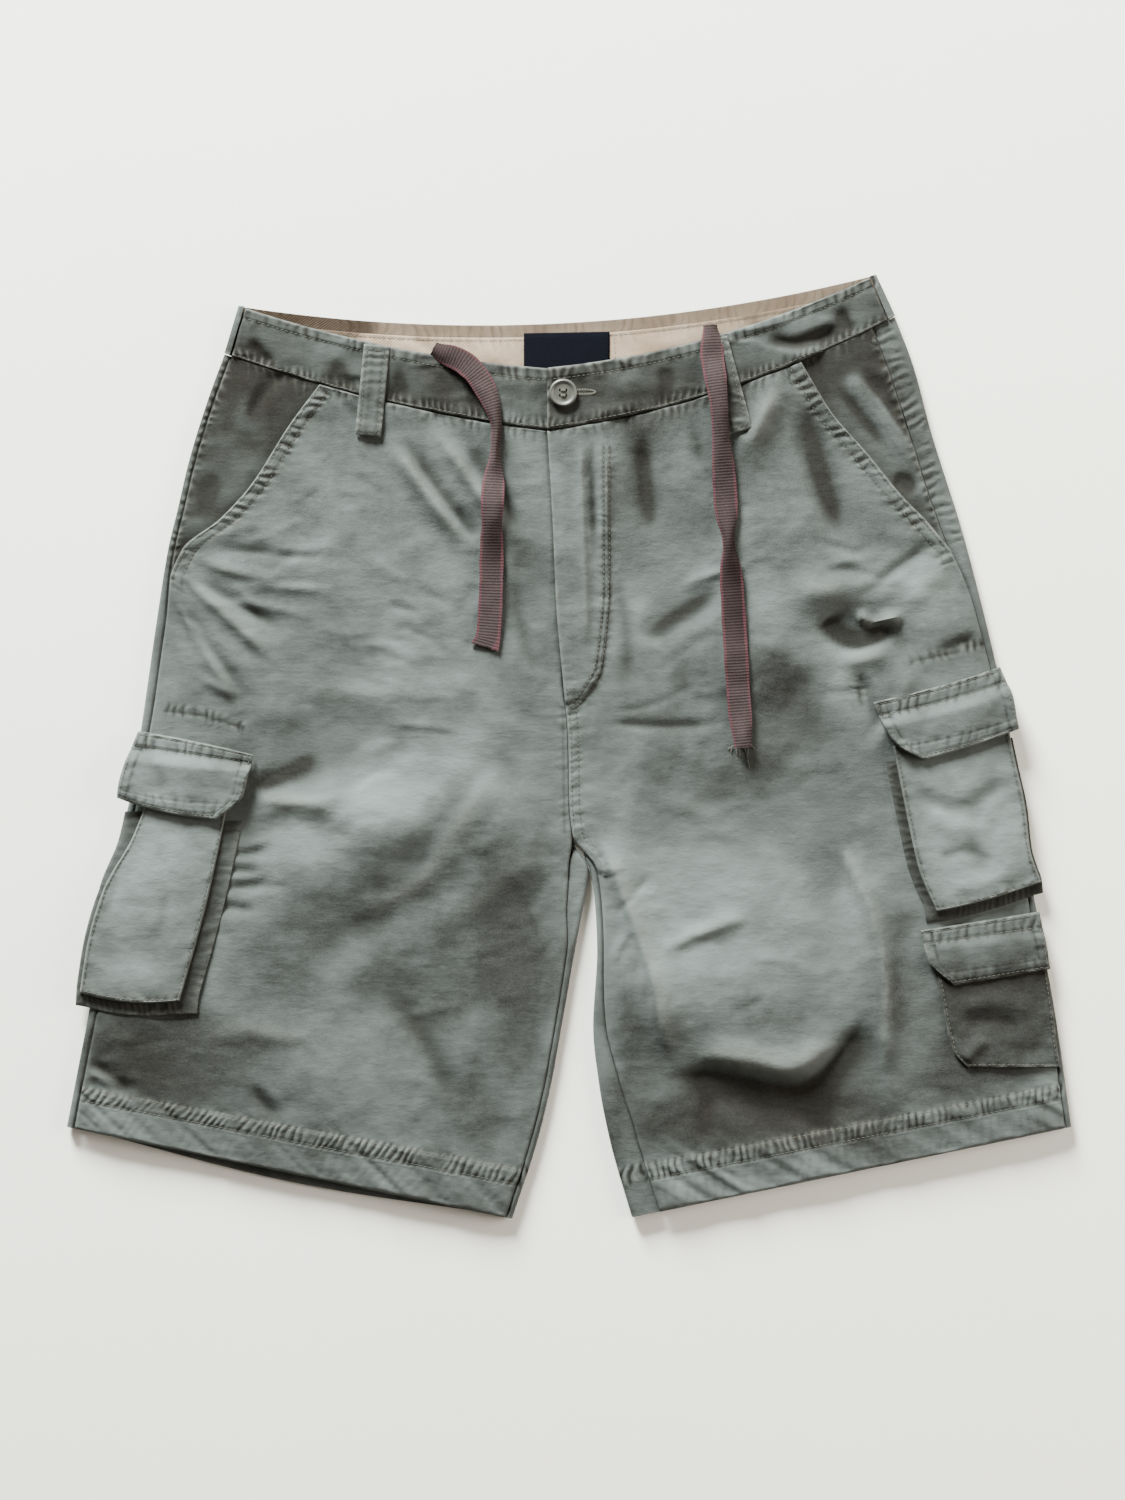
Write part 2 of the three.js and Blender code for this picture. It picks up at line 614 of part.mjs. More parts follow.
// Strip that joins the edge of a raised pocket face to the leg, round its two sides and its bottom
function gusset(side, table, lift) {
  const reach = gussetReach[side];
  const alongSide = (a, dx) =>
    Array.from({ length: gussetSideSteps + 1 }, (_, i) => {
      const b = mix(gussetFrom, 1, i / gussetSideSteps);
      return { a, b, dx, dy: i === gussetSideSteps ? -reach.bottom : 0 };
    });
  const alongBottom = Array.from({ length: gussetBottomSteps - 1 }, (_, i) => (
    { a: (i + 1) / gussetBottomSteps, b: 1, dx: 0, dy: -reach.bottom }
  ));
  const route = [...alongSide(0, -reach.left), ...alongBottom, ...alongSide(1, reach.right).reverse()];
  const topGrid = [0, 0.5, 1].map((t) =>
    route.map((place) => {
      const edge = patchPoint(table, place.a, place.b);
      const inward = { x: -Math.sign(place.dx) * gussetTuck, y: -Math.sign(place.dy) * gussetTuck };
      const x = mix(edge.x + inward.x, edge.x + place.dx, t);
      const y = mix(edge.y + inward.y, edge.y + place.dy, t);
      const under = pocketTop(side, lift)(edge, place.b) - pocketLayer - seamGap;
      const onLeg = drape(side, x, y) + restGap + pocketLayer;
      return new THREE.Vector3(x, y, mix(Math.max(under, onLeg), onLeg, smooth(t)));
    }),
  );
  const bottomGrid = topGrid.map((row, i) => {
    const thickness = pocketLayer + (i === 1 ? gussetMiddle : 0);
    return row.map((p) => new THREE.Vector3(p.x, p.y, Math.max(p.z - thickness, drape(side, p.x, p.y) + restGap)));
  });
  return wall(topGrid, bottomGrid);
}

function fourHoleButton() {
  const { radius, thickness, rim, dish } = button;
  const profile = [
    new THREE.Vector2(0, 0),
    new THREE.Vector2(radius - 1.2, 0),
    new THREE.Vector2(radius, 1),
    new THREE.Vector2(radius, thickness - 0.8),
    new THREE.Vector2(radius - 0.8, thickness),
    new THREE.Vector2(radius - rim, thickness - 0.1),
    new THREE.Vector2(radius - rim - 1, thickness - dish),
    new THREE.Vector2(0, thickness - dish),
  ];
  let body = solid(new THREE.LatheGeometry(profile, buttonSides).rotateX(Math.PI / 2));
  for (const [x, y] of [[-1, -1], [1, -1], [1, 1], [-1, 1]]) {
    const hole = new THREE.CylinderGeometry(buttonHole.radius, buttonHole.radius, 3 * thickness, holeSides);
    hole.rotateX(Math.PI / 2);
    hole.translate((x * buttonHole.spacing) / 2, (y * buttonHole.spacing) / 2, 0);
    body = body.subtract(solid(hole));
  }
  const cut = body.getMesh();
  const geometry = new THREE.BufferGeometry();
  geometry.setAttribute("position", new THREE.BufferAttribute(new Float32Array(cut.vertProperties), 3));
  geometry.setIndex(new THREE.BufferAttribute(new Uint32Array(cut.triVerts), 1));
  geometry.translate(button.x, button.y, bandHeight + bandOverlap.lift + seamGap);
  return geometry;
}

function solid(geometry) {
  geometry.deleteAttribute("normal");
  geometry.deleteAttribute("uv");
  const merged = mergeVertices(geometry, 1e-4);
  const mesh = new wasm.Mesh({
    numProp: 3,
    vertProperties: new Float32Array(merged.attributes.position.array),
    triVerts: new Uint32Array(merged.index.array),
  });
  return new wasm.Manifold(mesh);
}

const finish = (color, roughness) => () => new THREE.MeshStandardMaterial({ color, roughness, metalness: 0 });
const sageCloth = finish("#8d948a", 0.95);
const shadedCloth = finish("#7d827a", 0.95);
const tanTwill = finish("#c4b294", 0.92);
const navyLabel = finish("#14161f", 0.9);
const stripedTape = finish("#946a6b", 0.93);
const greyButton = finish("#84867b", 0.45);

const shorts = new THREE.Group();
function add(name, geometry, makeMaterial) {
  const piece = new THREE.Mesh(geometry, makeMaterial());
  piece.name = name;
  shorts.add(piece);
}

for (const side of ["right", "left"]) {
  add(`back_${side}`, backPanel(side), sageCloth);
  add(`front_${side}`, frontPanel(side), sageCloth);
  add(`hip_facing_${side}`, hipFacing(side), shadedCloth);
  add(`waistband_front_${side}`, frontBand(side), sageCloth);
}
add("waistband_back", backBand(), sageCloth);
add("waist_facing", waistFacing(), tanTwill);
add("waist_label", waistLabel(), navyLabel);
add("belt_loop_right", beltLoop("right", loopRight), sageCloth);
add("belt_loop_left", beltLoop("left", loopLeft), sageCloth);
add("button", fourHoleButton(), greyButton);
const overLoop = { to: loopLeft.bottomY - tapeOverLoop.reach, height: tapeOverLoop.height };
add("drawstring_right", drawstring("right", tapeRightLine, { to: Infinity, height: 0 }), stripedTape);
add("drawstring_left", drawstring("left", tapeLeftLine, overLoop), stripedTape);

const flapLift = cargoLift + restGap + pocketLayer;
add("cargo_right_face", patch(cargoRightFace, 6, 10, pocketTop("right", cargoLift)), sageCloth);
add("cargo_right_gusset", gusset("right", cargoRightFace, cargoLift), shadedCloth);
add("cargo_right_flap", patch(cargoRightFlap, 7, 8, flapTop("right", flapLift)), sageCloth);
add("cargo_left_face", patch(cargoLeftFace, 6, 10, pocketTop("left", cargoLift)), sageCloth);
add("cargo_left_gusset", gusset("left", cargoLeftFace, cargoLift), shadedCloth);
add("cargo_left_flap", patch(cargoLeftFlap, 7, 8, flapTop("left", flapLift)), sageCloth);
add("patch_left_face", patch(patchLeftFace, 6, 8, pocketTop("left", patchLift)), sageCloth);
add("patch_left_flap", patch(patchLeftFlap, 7, 6, flapTop("left", patchLift + restGap)), sageCloth);

export default shorts;
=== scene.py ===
import math
import bpy
import numpy as np
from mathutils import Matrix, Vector
from mathutils.bvhtree import BVHTree


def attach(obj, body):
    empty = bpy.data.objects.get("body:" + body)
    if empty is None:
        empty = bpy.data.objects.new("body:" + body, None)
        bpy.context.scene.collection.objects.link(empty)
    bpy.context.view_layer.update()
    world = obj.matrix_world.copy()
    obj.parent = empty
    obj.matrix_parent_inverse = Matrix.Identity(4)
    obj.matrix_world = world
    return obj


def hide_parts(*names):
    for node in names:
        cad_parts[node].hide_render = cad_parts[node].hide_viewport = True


# Cargo shorts laid flat. Sizes below are in millimetres unless a name says otherwise; meshes are written in metres.
# Sides are the wearer's: the right leg lies at negative X.

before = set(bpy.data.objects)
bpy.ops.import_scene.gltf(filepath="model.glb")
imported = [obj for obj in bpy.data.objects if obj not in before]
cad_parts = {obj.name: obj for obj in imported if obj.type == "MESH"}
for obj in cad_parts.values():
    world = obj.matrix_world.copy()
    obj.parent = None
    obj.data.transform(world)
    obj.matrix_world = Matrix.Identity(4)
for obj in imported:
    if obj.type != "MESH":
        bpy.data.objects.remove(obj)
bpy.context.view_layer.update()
bpy.ops.object.select_all(action="DESELECT")
print("shorts: frame loaded")

mm = 0.001


# Camera, straight above as in the photograph
view = {
    "millimetresPerPixel": 0.64,
    "pixelsHigh": 1500,
    "middle": (-4.2, -2.6),
    "clothHeight": 8,
    "distance": 2400,
    "sensor": 36,
    "clipEnd": 20,
}


def placeCamera():
    bpy.ops.object.camera_add()
    camera = bpy.context.object
    camera.name = "photoCamera"
    tall = view["millimetresPerPixel"] * view["pixelsHigh"]
    camera.data.sensor_width = view["sensor"]
    camera.data.lens = view["sensor"] * view["distance"] / tall
    camera.data.clip_end = view["clipEnd"]
    middleX, middleY = view["middle"]
    camera.location = (middleX * mm, middleY * mm, (view["distance"] + view["clothHeight"]) * mm)
    bpy.context.scene.camera = camera


placeCamera()
print("shorts: camera placed")


# Small maths that all pieces share
def smooth(t):
    t = np.clip(t, 0, 1)
    return t * t * (3 - 2 * t)


def mix(a, b, t):
    return a + (b - a) * t


# 1 at distance 0, falling softly to nothing past about two widths
def bell(distance, width):
    return np.exp(-(distance / width) ** 2)


# A table column read between its rows, on a curve that never overshoots them
def readColumn(places, values, at):
    places, values, at = np.asarray(places, float), np.asarray(values, float), np.asarray(at, float)
    slope = np.diff(values) / np.diff(places)
    tangent = np.empty(len(places))
    tangent[0], tangent[-1] = slope[0], slope[-1]
    product = slope[:-1] * slope[1:]
    total = slope[:-1] + slope[1:]
    tangent[1:-1] = np.where(product > 0, 2 * product / np.where(product > 0, total, 1), 0)
    at = np.clip(at, places[0], places[-1])
    i = np.clip(np.searchsorted(places, at, side="right") - 1, 0, len(places) - 2)
    span = places[i + 1] - places[i]
    t = (at - places[i]) / span
    blend = values[i] * (1 + 2 * t) * (1 - t) ** 2 + values[i + 1] * t * t * (3 - 2 * t)
    return blend + span * t * (1 - t) * (tangent[i] * (1 - t) - tangent[i + 1] * t)


# Smooth unevenness over a plane: cells of random heights, eased into each other
def softNoise(x, y, size, seed):
    grid = np.random.default_rng(seed).uniform(-1, 1, (97, 97))
    gx, gy = np.asarray(x) / size + 31.7, np.asarray(y) / size + 17.3
    ix, iy = np.floor(gx).astype(int), np.floor(gy).astype(int)
    tx, ty = gx - ix, gy - iy
    tx, ty = tx * tx * (3 - 2 * tx), ty * ty * (3 - 2 * ty)
    ix, iy = ix % 96, iy % 96
    low = mix(grid[iy, ix], grid[iy, ix + 1], tx)
    high = mix(grid[iy + 1, ix], grid[iy + 1, ix + 1], tx)
    return mix(low, high, ty)


# Sum of soft ovals, each a row of centre, direction in degrees, half length, half width and amount
def ovals(rows, x, y):
    total = np.zeros(np.shape(x))
    for centreX, centreY, turn, length, width, amount in rows:
        c, s = math.cos(math.radians(turn)), math.sin(math.radians(turn))
        dx, dy = x - centreX, y - centreY
        total += amount * np.exp(-((dx * c + dy * s) / length) ** 2 - ((dy * c - dx * s) / width) ** 2)
    return total


# Distance from points to a bent line, signed (+ on its left), and how far along it the nearest place is
def fromLine(x, y, line):
    best = np.full(np.shape(x), 1e9)
    signed, along, total = np.zeros_like(best), np.zeros_like(best), 0.0
    for (ax, ay), (bx, by) in zip(line[:-1], line[1:]):
        dx, dy = bx - ax, by - ay
        length = math.hypot(dx, dy)
        t = np.clip(((x - ax) * dx + (y - ay) * dy) / length ** 2, 0, 1)
        px, py = x - ax - t * dx, y - ay - t * dy
        away = np.hypot(px, py)
        side = np.sign(dx * py - dy * px)
        near = away < best
        best = np.where(near, away, best)
        signed = np.where(near, away * side, signed)
        along = np.where(near, total + t * length, along)
        total += length
    return signed, along, total


# Creases listed one by one: each is a soft ridge (height above 0) or trough along a bent line,
# near wide on its left side and far wide on its right, and it dies away over end at both ends
def creaseHeight(x, y, creases, breadth=1.25):
    relief = np.zeros(np.shape(x))
    for crease in creases:
        signed, along, total = fromLine(x, y, curved(crease["line"]))
        width = breadth * np.where(signed > 0, crease["near"], crease["far"])
        end = min(0.45 * total, crease["end"])
        taper = smooth(along / end) * smooth((total - along) / end)
        relief += crease["height"] * bell(signed, width) * taper
    return relief


# A line through a few points, rounded by two passes of corner cutting
def curved(points):
    line = [tuple(map(float, p)) for p in points]
    for _ in range(2):
        cut = [line[0]]
        for a, b in zip(line[:-1], line[1:]):
            cut += [(mix(a[0], b[0], 0.25), mix(a[1], b[1], 0.25)), (mix(a[0], b[0], 0.75), mix(a[1], b[1], 0.75))]
        line = cut + [line[-1]]
    return line


# Legs: a row for each section from the waist seam (v = 0) to the hem (v = 1)
legColumns = ("v", "outerX", "outerY", "innerX", "innerY", "wrapOut", "wrapIn", "mouth", "bow")
legRows = {
    "right": [
        (0.0, -221, 251, -14, 202, 4, 0, 63, -6),
        (0.06, -232, 221, -12, 170, 4, 0, 54, -5.5),
        (0.14, -244, 182, -10, 132, 4, 0, 43.5, -5),
        (0.2, -251, 152, -9, 107, 4, 0, 28, -4),
        (0.25, -257, 127, -8, 87, 4, 0, 9, -3.5),
        (0.35, -265, 77, -4, 42, 6, 0, 0, -2.5),
        (0.45, -272, 28, -0.5, 1, 6, 0, 0, -1.5),
        (0.53, -278, -12, 0, -35, 5, 0, 0, -1),
        (0.576, -282, -35, 1.9, -57, 5, 0, 0, 0),
        (0.618, -287, -56, 12.8, -81, 5, 13, 0, 0),
        (0.661, -291, -77, 8.6, -106, 5, 10, 0, 0),
        (0.703, -295, -97, 3.8, -131, 5, 5, 0, 0),
        (0.788, -303, -140, -4.8, -180, 5, 4, 0, 0),
        (0.852, -308, -171, -11.5, -217, 5, 4, 0, 0),
        (0.915, -314, -202, -20.2, -253, 5, 4, 0, 0),
        (1.0, -322, -244, -36.5, -303, 5, 4, 0, 0),
    ],
    "left": [
        (0.0, 209, 275, -14, 202, 15, 0, 64, -11),
        (0.06, 221, 243, -12, 170, 15, 0, 59, -9.5),
        (0.14, 232, 202, -10, 132, 13, 0, 42, -7.5),
        (0.2, 242, 170, -9, 107, 13, 0, 30, -6),
        (0.25, 250, 145, -8, 87, 12.5, 0, 18, -5),
        (0.35, 264, 93, -4, 42, 5, 0, 0, -3),
        (0.45, 276, 42, -0.5, 1, 4, 0, 0, -1.5),
        (0.53, 284, 0, 0, -35, 4, 0, 0, -1),
        (0.576, 287, -24, 2.3, -57, 4, 0, 0, 0),
        (0.618, 290, -46, 13.8, -81, 4, 4, 0, 0),
        (0.661, 293, -68, 17, -106, 4, 4, 0, 0),
        (0.703, 297, -90, 18, -131, 4, 4, 0, 0),
        (0.788, 305, -134, 15.4, -180, 4, 8, 0, 0),
        (0.852, 311, -167, 19.2, -217, 4, 13, 0, 0),
        (0.915, 316, -200, 26.2, -253, 4, 17, 0, 0),
        (1.0, 322, -244, 40.3, -302, 4, 18, 0, 0),
    ],
}
legTables = {side: dict(zip(legColumns, zip(*rows))) for side, rows in legRows.items()}

# Broad folds: centre, direction in degrees, half length, half width and height
foldRows = {
    "right": [
        (-86, 159, -53, 37, 11, 2.2), (-57, 164, -51, 40, 10, 1.8), (-134, -44, -8, 60, 20, 4),
        (-176, -38, -20, 30, 11, -2.2), (-60, -35, 50, 40, 13, -2), (-128, -115, 35, 50, 13, -2),
        (-50, -252, 60, 18, 12, -1.4), (-222, 62, -60, 30, 11, 2), (-80, -190, 40, 55, 26, 1.8),
    ],
    "left": [
        (24, 165, 90, 36, 11, 1.6), (124, 213, 65, 28, 11, 2), (163, 172, 105, 50, 11, -2),
        (184, 74, -4, 28, 13, -2.6), (173, 100, 8, 30, 11, 3), (71, 84, 32, 34, 11, -1.6),
        (150, 17, 80, 30, 15, -2), (166, -70, 93, 60, 13, -2.2), (192, -140, 101, 80, 11, 3.6),
        (45, -132, 107, 75, 11, 2.4), (126, -166, 4, 62, 26, 4), (124, -224, -8, 55, 13, -2),
    ],
}

cloth = {
    "edgeHeight": 6,
    "crownRise": 1.2,
    "crownFade": 30,
    "length": 505,
    "width": 205,
    "thickness": 1.1,
    "seamGap": 0.3,
    "restGap": 0.5,
    "hemStart": 0.947,
    "hemRise": 0.7,
    "hemRows": (18.5, 26.0),
    "flyEnd": 0.35,
    "flyLift": 1.9,
    "flyUnderlap": 8,
    "inseamRows": (2.0, 6.5),
    "inseamSewnTo": 0.6,
    "mouthEnd": 0.29,
    "mouthRows": (2.0, 8.0),
    "mouthLift": 2.2,
    "mouthReach": 45,
}
flyCurve = [(27, -6), (31, 6), (49, 18), (93, 23.5), (193, 22)]
backRise = {"height": 31, "end": 0.45}
backHemDrop = {"right": 6, "left": 0}
outward = {"right": -1, "left": 1}


def legValue(side, column, v):
    table = legTables[side]
    return readColumn(table["v"], table[column], v)


# The point at share u of the section at v, from its outer end
def legPoint(side, v, u):
    x = mix(legValue(side, "outerX", v), legValue(side, "innerX", v), u)
    y = mix(legValue(side, "outerY", v), legValue(side, "innerY", v), u)
    return x, y + legValue(side, "bow", v) * 4 * u * (1 - u)


def legLength(side, v):
    dx = legValue(side, "innerX", v) - legValue(side, "outerX", v)
    dy = legValue(side, "innerY", v) - legValue(side, "outerY", v)
    return np.hypot(dx, dy)


def backPoint(side, v, u):
    x, y = legPoint(side, v, u)
    rise = backRise["height"] * (1 - np.clip(v / backRise["end"], 0, 1)) ** 2
    drop = backHemDrop[side] * smooth((v - 0.85) / 0.15)
    return x, y + rise * smooth(u) ** 2 - drop * 16 * u * u * (1 - u) ** 2


def edgeX(side, edge, y):
    table = legTables[side]
    return np.interp(-np.asarray(y), [-value for value in table[edge + "Y"]], table[edge + "X"])


crotchY = -81


def edgeFade(side, x, y, reach):
    fromOuter = outward[side] * (edgeX(side, "outer", y) - x)
    fromInner = np.where(y > crotchY, reach, outward[side] * (x - edgeX(side, "inner", y)))
    return smooth(fromOuter / reach) * smooth(fromInner / reach)


# Height of a leg's cloth with its broad folds, as its solid has it
def drape(side, x, y):
    inside = edgeFade(side, x, y, cloth["crownFade"])
    return cloth["edgeHeight"] + inside * (cloth["crownRise"] + ovals(foldRows[side], x, y))


def flyLift(x, y):
    edge = readColumn([p[0] for p in flyCurve], [p[1] for p in flyCurve], y)
    return cloth["flyLift"] * smooth((edge - x) / 5 + 1) * smooth((y - 22) / 8)


# Finer creases, listed one by one
def crease(height, near, far, *line, end=28):
    return dict(height=height, near=near, far=far, line=line, end=end)


creases = {
    "right": [
        crease(2.6, 30, 28, (-205, -92), (-150, -66), (-90, -50), (-20, -22), end=50),
        crease(-2.4, 24, 20, (-210, -30), (-150, 0), (-100, 20), end=40),
        crease(2.0, 20, 24, (-180, 130), (-120, 115), (-60, 70), end=40),
        crease(-2.0, 22, 22, (-160, -160), (-110, -160), (-50, -180), end=40),
        crease(2.0, 18, 20, (-250, -200), (-190, -205), (-120, -225), end=40),
        crease(2.4, 5, 7, (-118, 197), (-95, 170), (-63, 127)),
        crease(-2.2, 5, 4, (-108, 198), (-83, 163), (-54, 126)),
        crease(2.0, 6, 5, (-89, 207), (-63, 170), (-33, 127)),
        crease(-1.5, 6, 5, (-73, 203), (-51, 170), (-24, 130)),
        crease(-0.9, 2.5, 2.5, (-104, 182), (-84, 158), (-66, 134)),
        crease(2.2, 6, 4, (-260, 108), (-236, 68), (-212, 26)),
        crease(1.8, 6, 4, (-253, 115), (-220, 84), (-186, 52)),
        crease(1.4, 5, 4, (-244, 123), (-204, 106), (-150, 99)),
        crease(-2.0, 4, 5, (-256, 101), (-228, 61), (-203, 27)),
        crease(-1.4, 4, 4, (-250, 112), (-214, 92), (-178, 72)),
        crease(-0.9, 3, 3, (-234, 128), (-198, 124), (-154, 119)),
        crease(-0.9, 3, 3, (-228, 111), (-191, 104), (-150, 105)),
        crease(0.8, 3, 3, (-240, 90), (-200, 92), (-160, 80)),
        crease(-2.8, 15, 17, (-206, -42), (-172, -54), (-130, -64), end=24),
        crease(-3.0, 3.5, 8, (-207, -29), (-187, -18), (-158, -4), end=16),
        crease(2.2, 7, 8, (-205, -33), (-180, -36), (-146, -40), end=18),
        crease(-2.1, 15, 17, (-27, 1), (-63, -35), (-83, -67), (-108, -99), (-175, -139), end=60),
        crease(1.6, 9, 6, (-40, -8), (-72, -52), (-96, -92), (-150, -112), end=40),
        crease(-1.1, 2.5, 3, (-222, -67), (-206, -69), (-190, -64), end=12),
        crease(-1.1, 3, 2.5, (-224, -78), (-208, -80), (-194, -79), end=12),
        crease(-1.2, 3, 3, (-224, -90), (-206, -90), (-188, -85), end=12),
        crease(-1.0, 3, 3, (-229, -102), (-214, -103), (-198, -106), end=12),
        crease(-1.8, 4, 5, (-312, -200), (-296, -210), (-276, -224), end=16),
        crease(1.3, 4, 3, (-312, -206), (-298, -213), (-284, -219), end=10),
        crease(-1.5, 3.5, 5, (-203, -214), (-196, -229), (-180, -240), end=14),
        crease(-1.4, 15, 15, (-5, 18), (-31, -9), (-58, -29), end=24),
        crease(0.9, 9, 8, (-12, -66), (-44, -86), (-78, -119), end=24),
        crease(1.2, 10, 8, (-250, -190), (-200, -180), (-150, -195), end=40),
        crease(-1.2, 9, 8, (-120, -150), (-90, -190), (-70, -240), end=30),
        crease(1.3, 9, 12, (-180, 40), (-130, 30), (-80, 40), end=40),
        crease(-0.9, 4, 5, (-36, 110), (-30, 70), (-18, 40), end=20),
    ],
    "left": [
        crease(-3.4, 30, 28, (30, -52), (90, -48), (170, -52), (205, -40), end=44),
        crease(-2.4, 18, 22, (24, 86), (60, 112), (100, 150), end=36),
        crease(2.2, 22, 18, (80, 40), (120, 60), (160, 58), end=36),
        crease(2.0, 20, 22, (40, -150), (90, -155), (140, -150), end=36),
        crease(1.3, 7, 8, (212, 84), (228, 102), (243, 122), end=18),
        crease(-1.1, 3, 4, (186, 94), (208, 114), (236, 132), end=18),
        crease(1.7, 4, 4, (26, 201), (24, 166), (25, 130)), crease(-2.4, 6, 7, (46, 207), (49, 170), (53, 130)),
        crease(-1.5, 3, 3.5, (14.5, 196), (15.5, 160), (17, 116)),
        crease(1.3, 3.5, 3, (7, 199), (9, 130), (11, 61), end=20),
        crease(2.8, 9, 5, (136, 238), (124, 212), (111, 182)),
        crease(-3.0, 6, 7, (151, 222), (157, 189), (167, 157), (178, 127), end=34),
        crease(-4.4, 6.5, 5, (163, 83), (171, 73), (181, 67), (192, 69), (205, 76), end=7),
        crease(-1.2, 2.5, 2.5, (188, 71), (198, 73), (208, 78), end=8),
        crease(-1.1, 3, 4, (234, 60), (249, 65), (264, 73), end=12),
        crease(2.8, 3.5, 2.5, (184, 88), (190, 79), (198, 78), (207, 83), (214, 78), end=8),
        crease(1.4, 6, 5, (170, 55), (188, 54), (208, 62), end=14),
        crease(2.0, 9, 12, (138, 106), (156, 101), (182, 98), end=20),
        crease(-2.0, 5, 6, (43, 66), (71, 86), (100, 102), end=22),
        crease(-0.9, 3, 2.5, (18, 15), (58, 12), (100, 14), end=26),
        crease(-2.2, 15, 15, (138, 48), (154, 20), (160, -14), end=24),
        crease(-1.6, 15, 15, (166, -5), (168, -79), (172, -152), end=44),
        crease(2.0, 7, 2.2, (171, -56), (183, -84), (194, -108), (202, -144), (200.5, -175), (202, -212), end=24),
        crease(2.3, 10, 3.2, (19, -56), (36, -99), (45, -124), (55, -150), (60, -182), (66, -207), end=36),
        crease(-2.1, 5, 19, (58, -218), (84, -209), (109, -213), (141, -223), (160, -215), (182, -190), (194, -168),
               end=30),
        crease(3.0, 14, 7, (70, -196), (109, -199), (141, -207), (156, -200), (176, -180), end=34),
        crease(1.6, 5, 4, (56, -133), (87, -118), (118, -109), end=20),
        crease(-1.4, 8, 8, (157, -222), (162, -252), (164, -266), end=16),
        crease(-1.1, 4, 4, (77, 214), (82, 192), (86, 172)),
        crease(-1.0, 5, 6, (30, 110), (40, 60), (34, 30), end=24),
        crease(1.2, 8, 10, (110, -60), (80, -40), (50, -30), end=30),
        crease(1.1, 6, 8, (225, 62), (205, 20), (190, -20), end=26),
        crease(-1.2, 4, 5, (216, 50), (203, 25), (190, 0), end=20),
        crease(-1.0, 3, 4, (182, 52), (195, 30), (200, 8), end=16),
        crease(-1.0, 6, 6, (90, -260), (86, -235), (92, -210), end=18),
    ],
}
print("shorts: tables read")


# Shader maths: a Field wraps a socket, and expressions on Fields add Math nodes
class Field:
    def __init__(self, tree, socket):
        self.tree, self.socket = tree, socket

    def maths(self, operation, other=None, swapped=False, clamped=False):
        node = self.tree.nodes.new("ShaderNodeMath")
        node.operation, node.use_clamp = operation, clamped
        pair = [other, self] if swapped else [self, other]
        for socket, value in zip(node.inputs, pair):
            if isinstance(value, Field):
                self.tree.links.new(value.socket, socket)
            elif value is not None:
                socket.default_value = value
        return Field(self.tree, node.outputs[0])

    def __add__(self, other):
        return self.maths("ADD", other)

    def __sub__(self, other):
        return self.maths("SUBTRACT", other)

    def __rsub__(self, other):
        return self.maths("SUBTRACT", other, swapped=True)

    def __mul__(self, other):
        return self.maths("MULTIPLY", other)

    __radd__, __rmul__ = __add__, __mul__

    def clamped(self):
        return self.maths("ADD", 0.0, clamped=True)

    def sine(self):
        return self.maths("SINE")


# A material's tree, with one method that adds any node
class Finish:
    def __init__(self, name, roughness, shine=0.06):
        self.material = bpy.data.materials.new(name)
        self.material.use_nodes = True
        self.tree = self.material.node_tree
        self.shader = self.tree.nodes["Principled BSDF"]
        self.shader.inputs["Roughness"].default_value = roughness
        self.shader.inputs["Specular IOR Level"].default_value = shine
        self.place = self.node("ShaderNodeTexCoord", output="Object")
        self.threads = self.node("ShaderNodeTexCoord", output="UV")

    def node(self, kind, settings=None, inputs=None, output=0):
        node = self.tree.nodes.new(kind)
        for key, value in (settings or {}).items():
            setattr(node, key, value)
        for key, value in (inputs or {}).items():
            if isinstance(value, Field):
                self.tree.links.new(value.socket, node.inputs[key])
            else:
                node.inputs[key].default_value = value
        return Field(self.tree, node.outputs[output])

    def noise(self, coordinates, scale, detail=2.0, rough=0.55, kind="FBM"):
        return self.node("ShaderNodeTexNoise", {"noise_type": kind},
                         {"Vector": coordinates, "Scale": scale, "Detail": detail, "Roughness": rough})

    def attribute(self, name):
        return self.node("ShaderNodeAttribute", {"attribute_name": name}, None, "Fac")

    def blend(self, share, first, second):
        node = self.tree.nodes.new("ShaderNodeMix")
        node.data_type = "RGBA"
        for socket, value in ((node.inputs[0], share), (node.inputs[6], first), (node.inputs[7], second)):
            if isinstance(value, Field):
                self.tree.links.new(value.socket, socket)
            else:
                socket.default_value = value
        return Field(self.tree, node.outputs[2])

    def axis(self, coordinates, name):
        return self.node("ShaderNodeSeparateXYZ", None, {"Vector": coordinates}, name)

    def colour(self, field):
        self.tree.links.new(field.socket, self.shader.inputs["Base Color"])

    # A Bump node into the shader's Normal, with the distance in metres
    def bump(self, height, distance, strength):
        bump = self.node("ShaderNodeBump", None, {"Height": height, "Distance": distance, "Strength": strength},
                         "Normal")
        self.tree.links.new(bump.socket, self.shader.inputs["Normal"])


# A wave with its pitch in metres, between 0 and 1
def wave(field, pitch):
    return (field * (2 * math.pi / pitch)).sine() * 0.5 + 0.5


# Plain weave: over and under threads, as bump
def plainWeave(finish, pitch):
    turn = 2 * math.pi / pitch
    warp = (finish.axis(finish.threads, "X") * turn).sine()
    weft = (finish.axis(finish.threads, "Y") * turn).sine()
    return warp * weft * 0.5 + 0.5


puckerPitch = 0.0061


# Puckers beside a seam: how strong they are at a place, and where it lies between trough and ridge
def puckers(finish):
    turn = 2 * math.pi / puckerPitch
    tick = (finish.attribute("run") * turn + finish.noise(finish.place, 50, 1) * 13).sine()
    return finish.attribute("sewn") * (finish.noise(finish.place, 75, 2) * 4 - 1.35).clamped(), tick
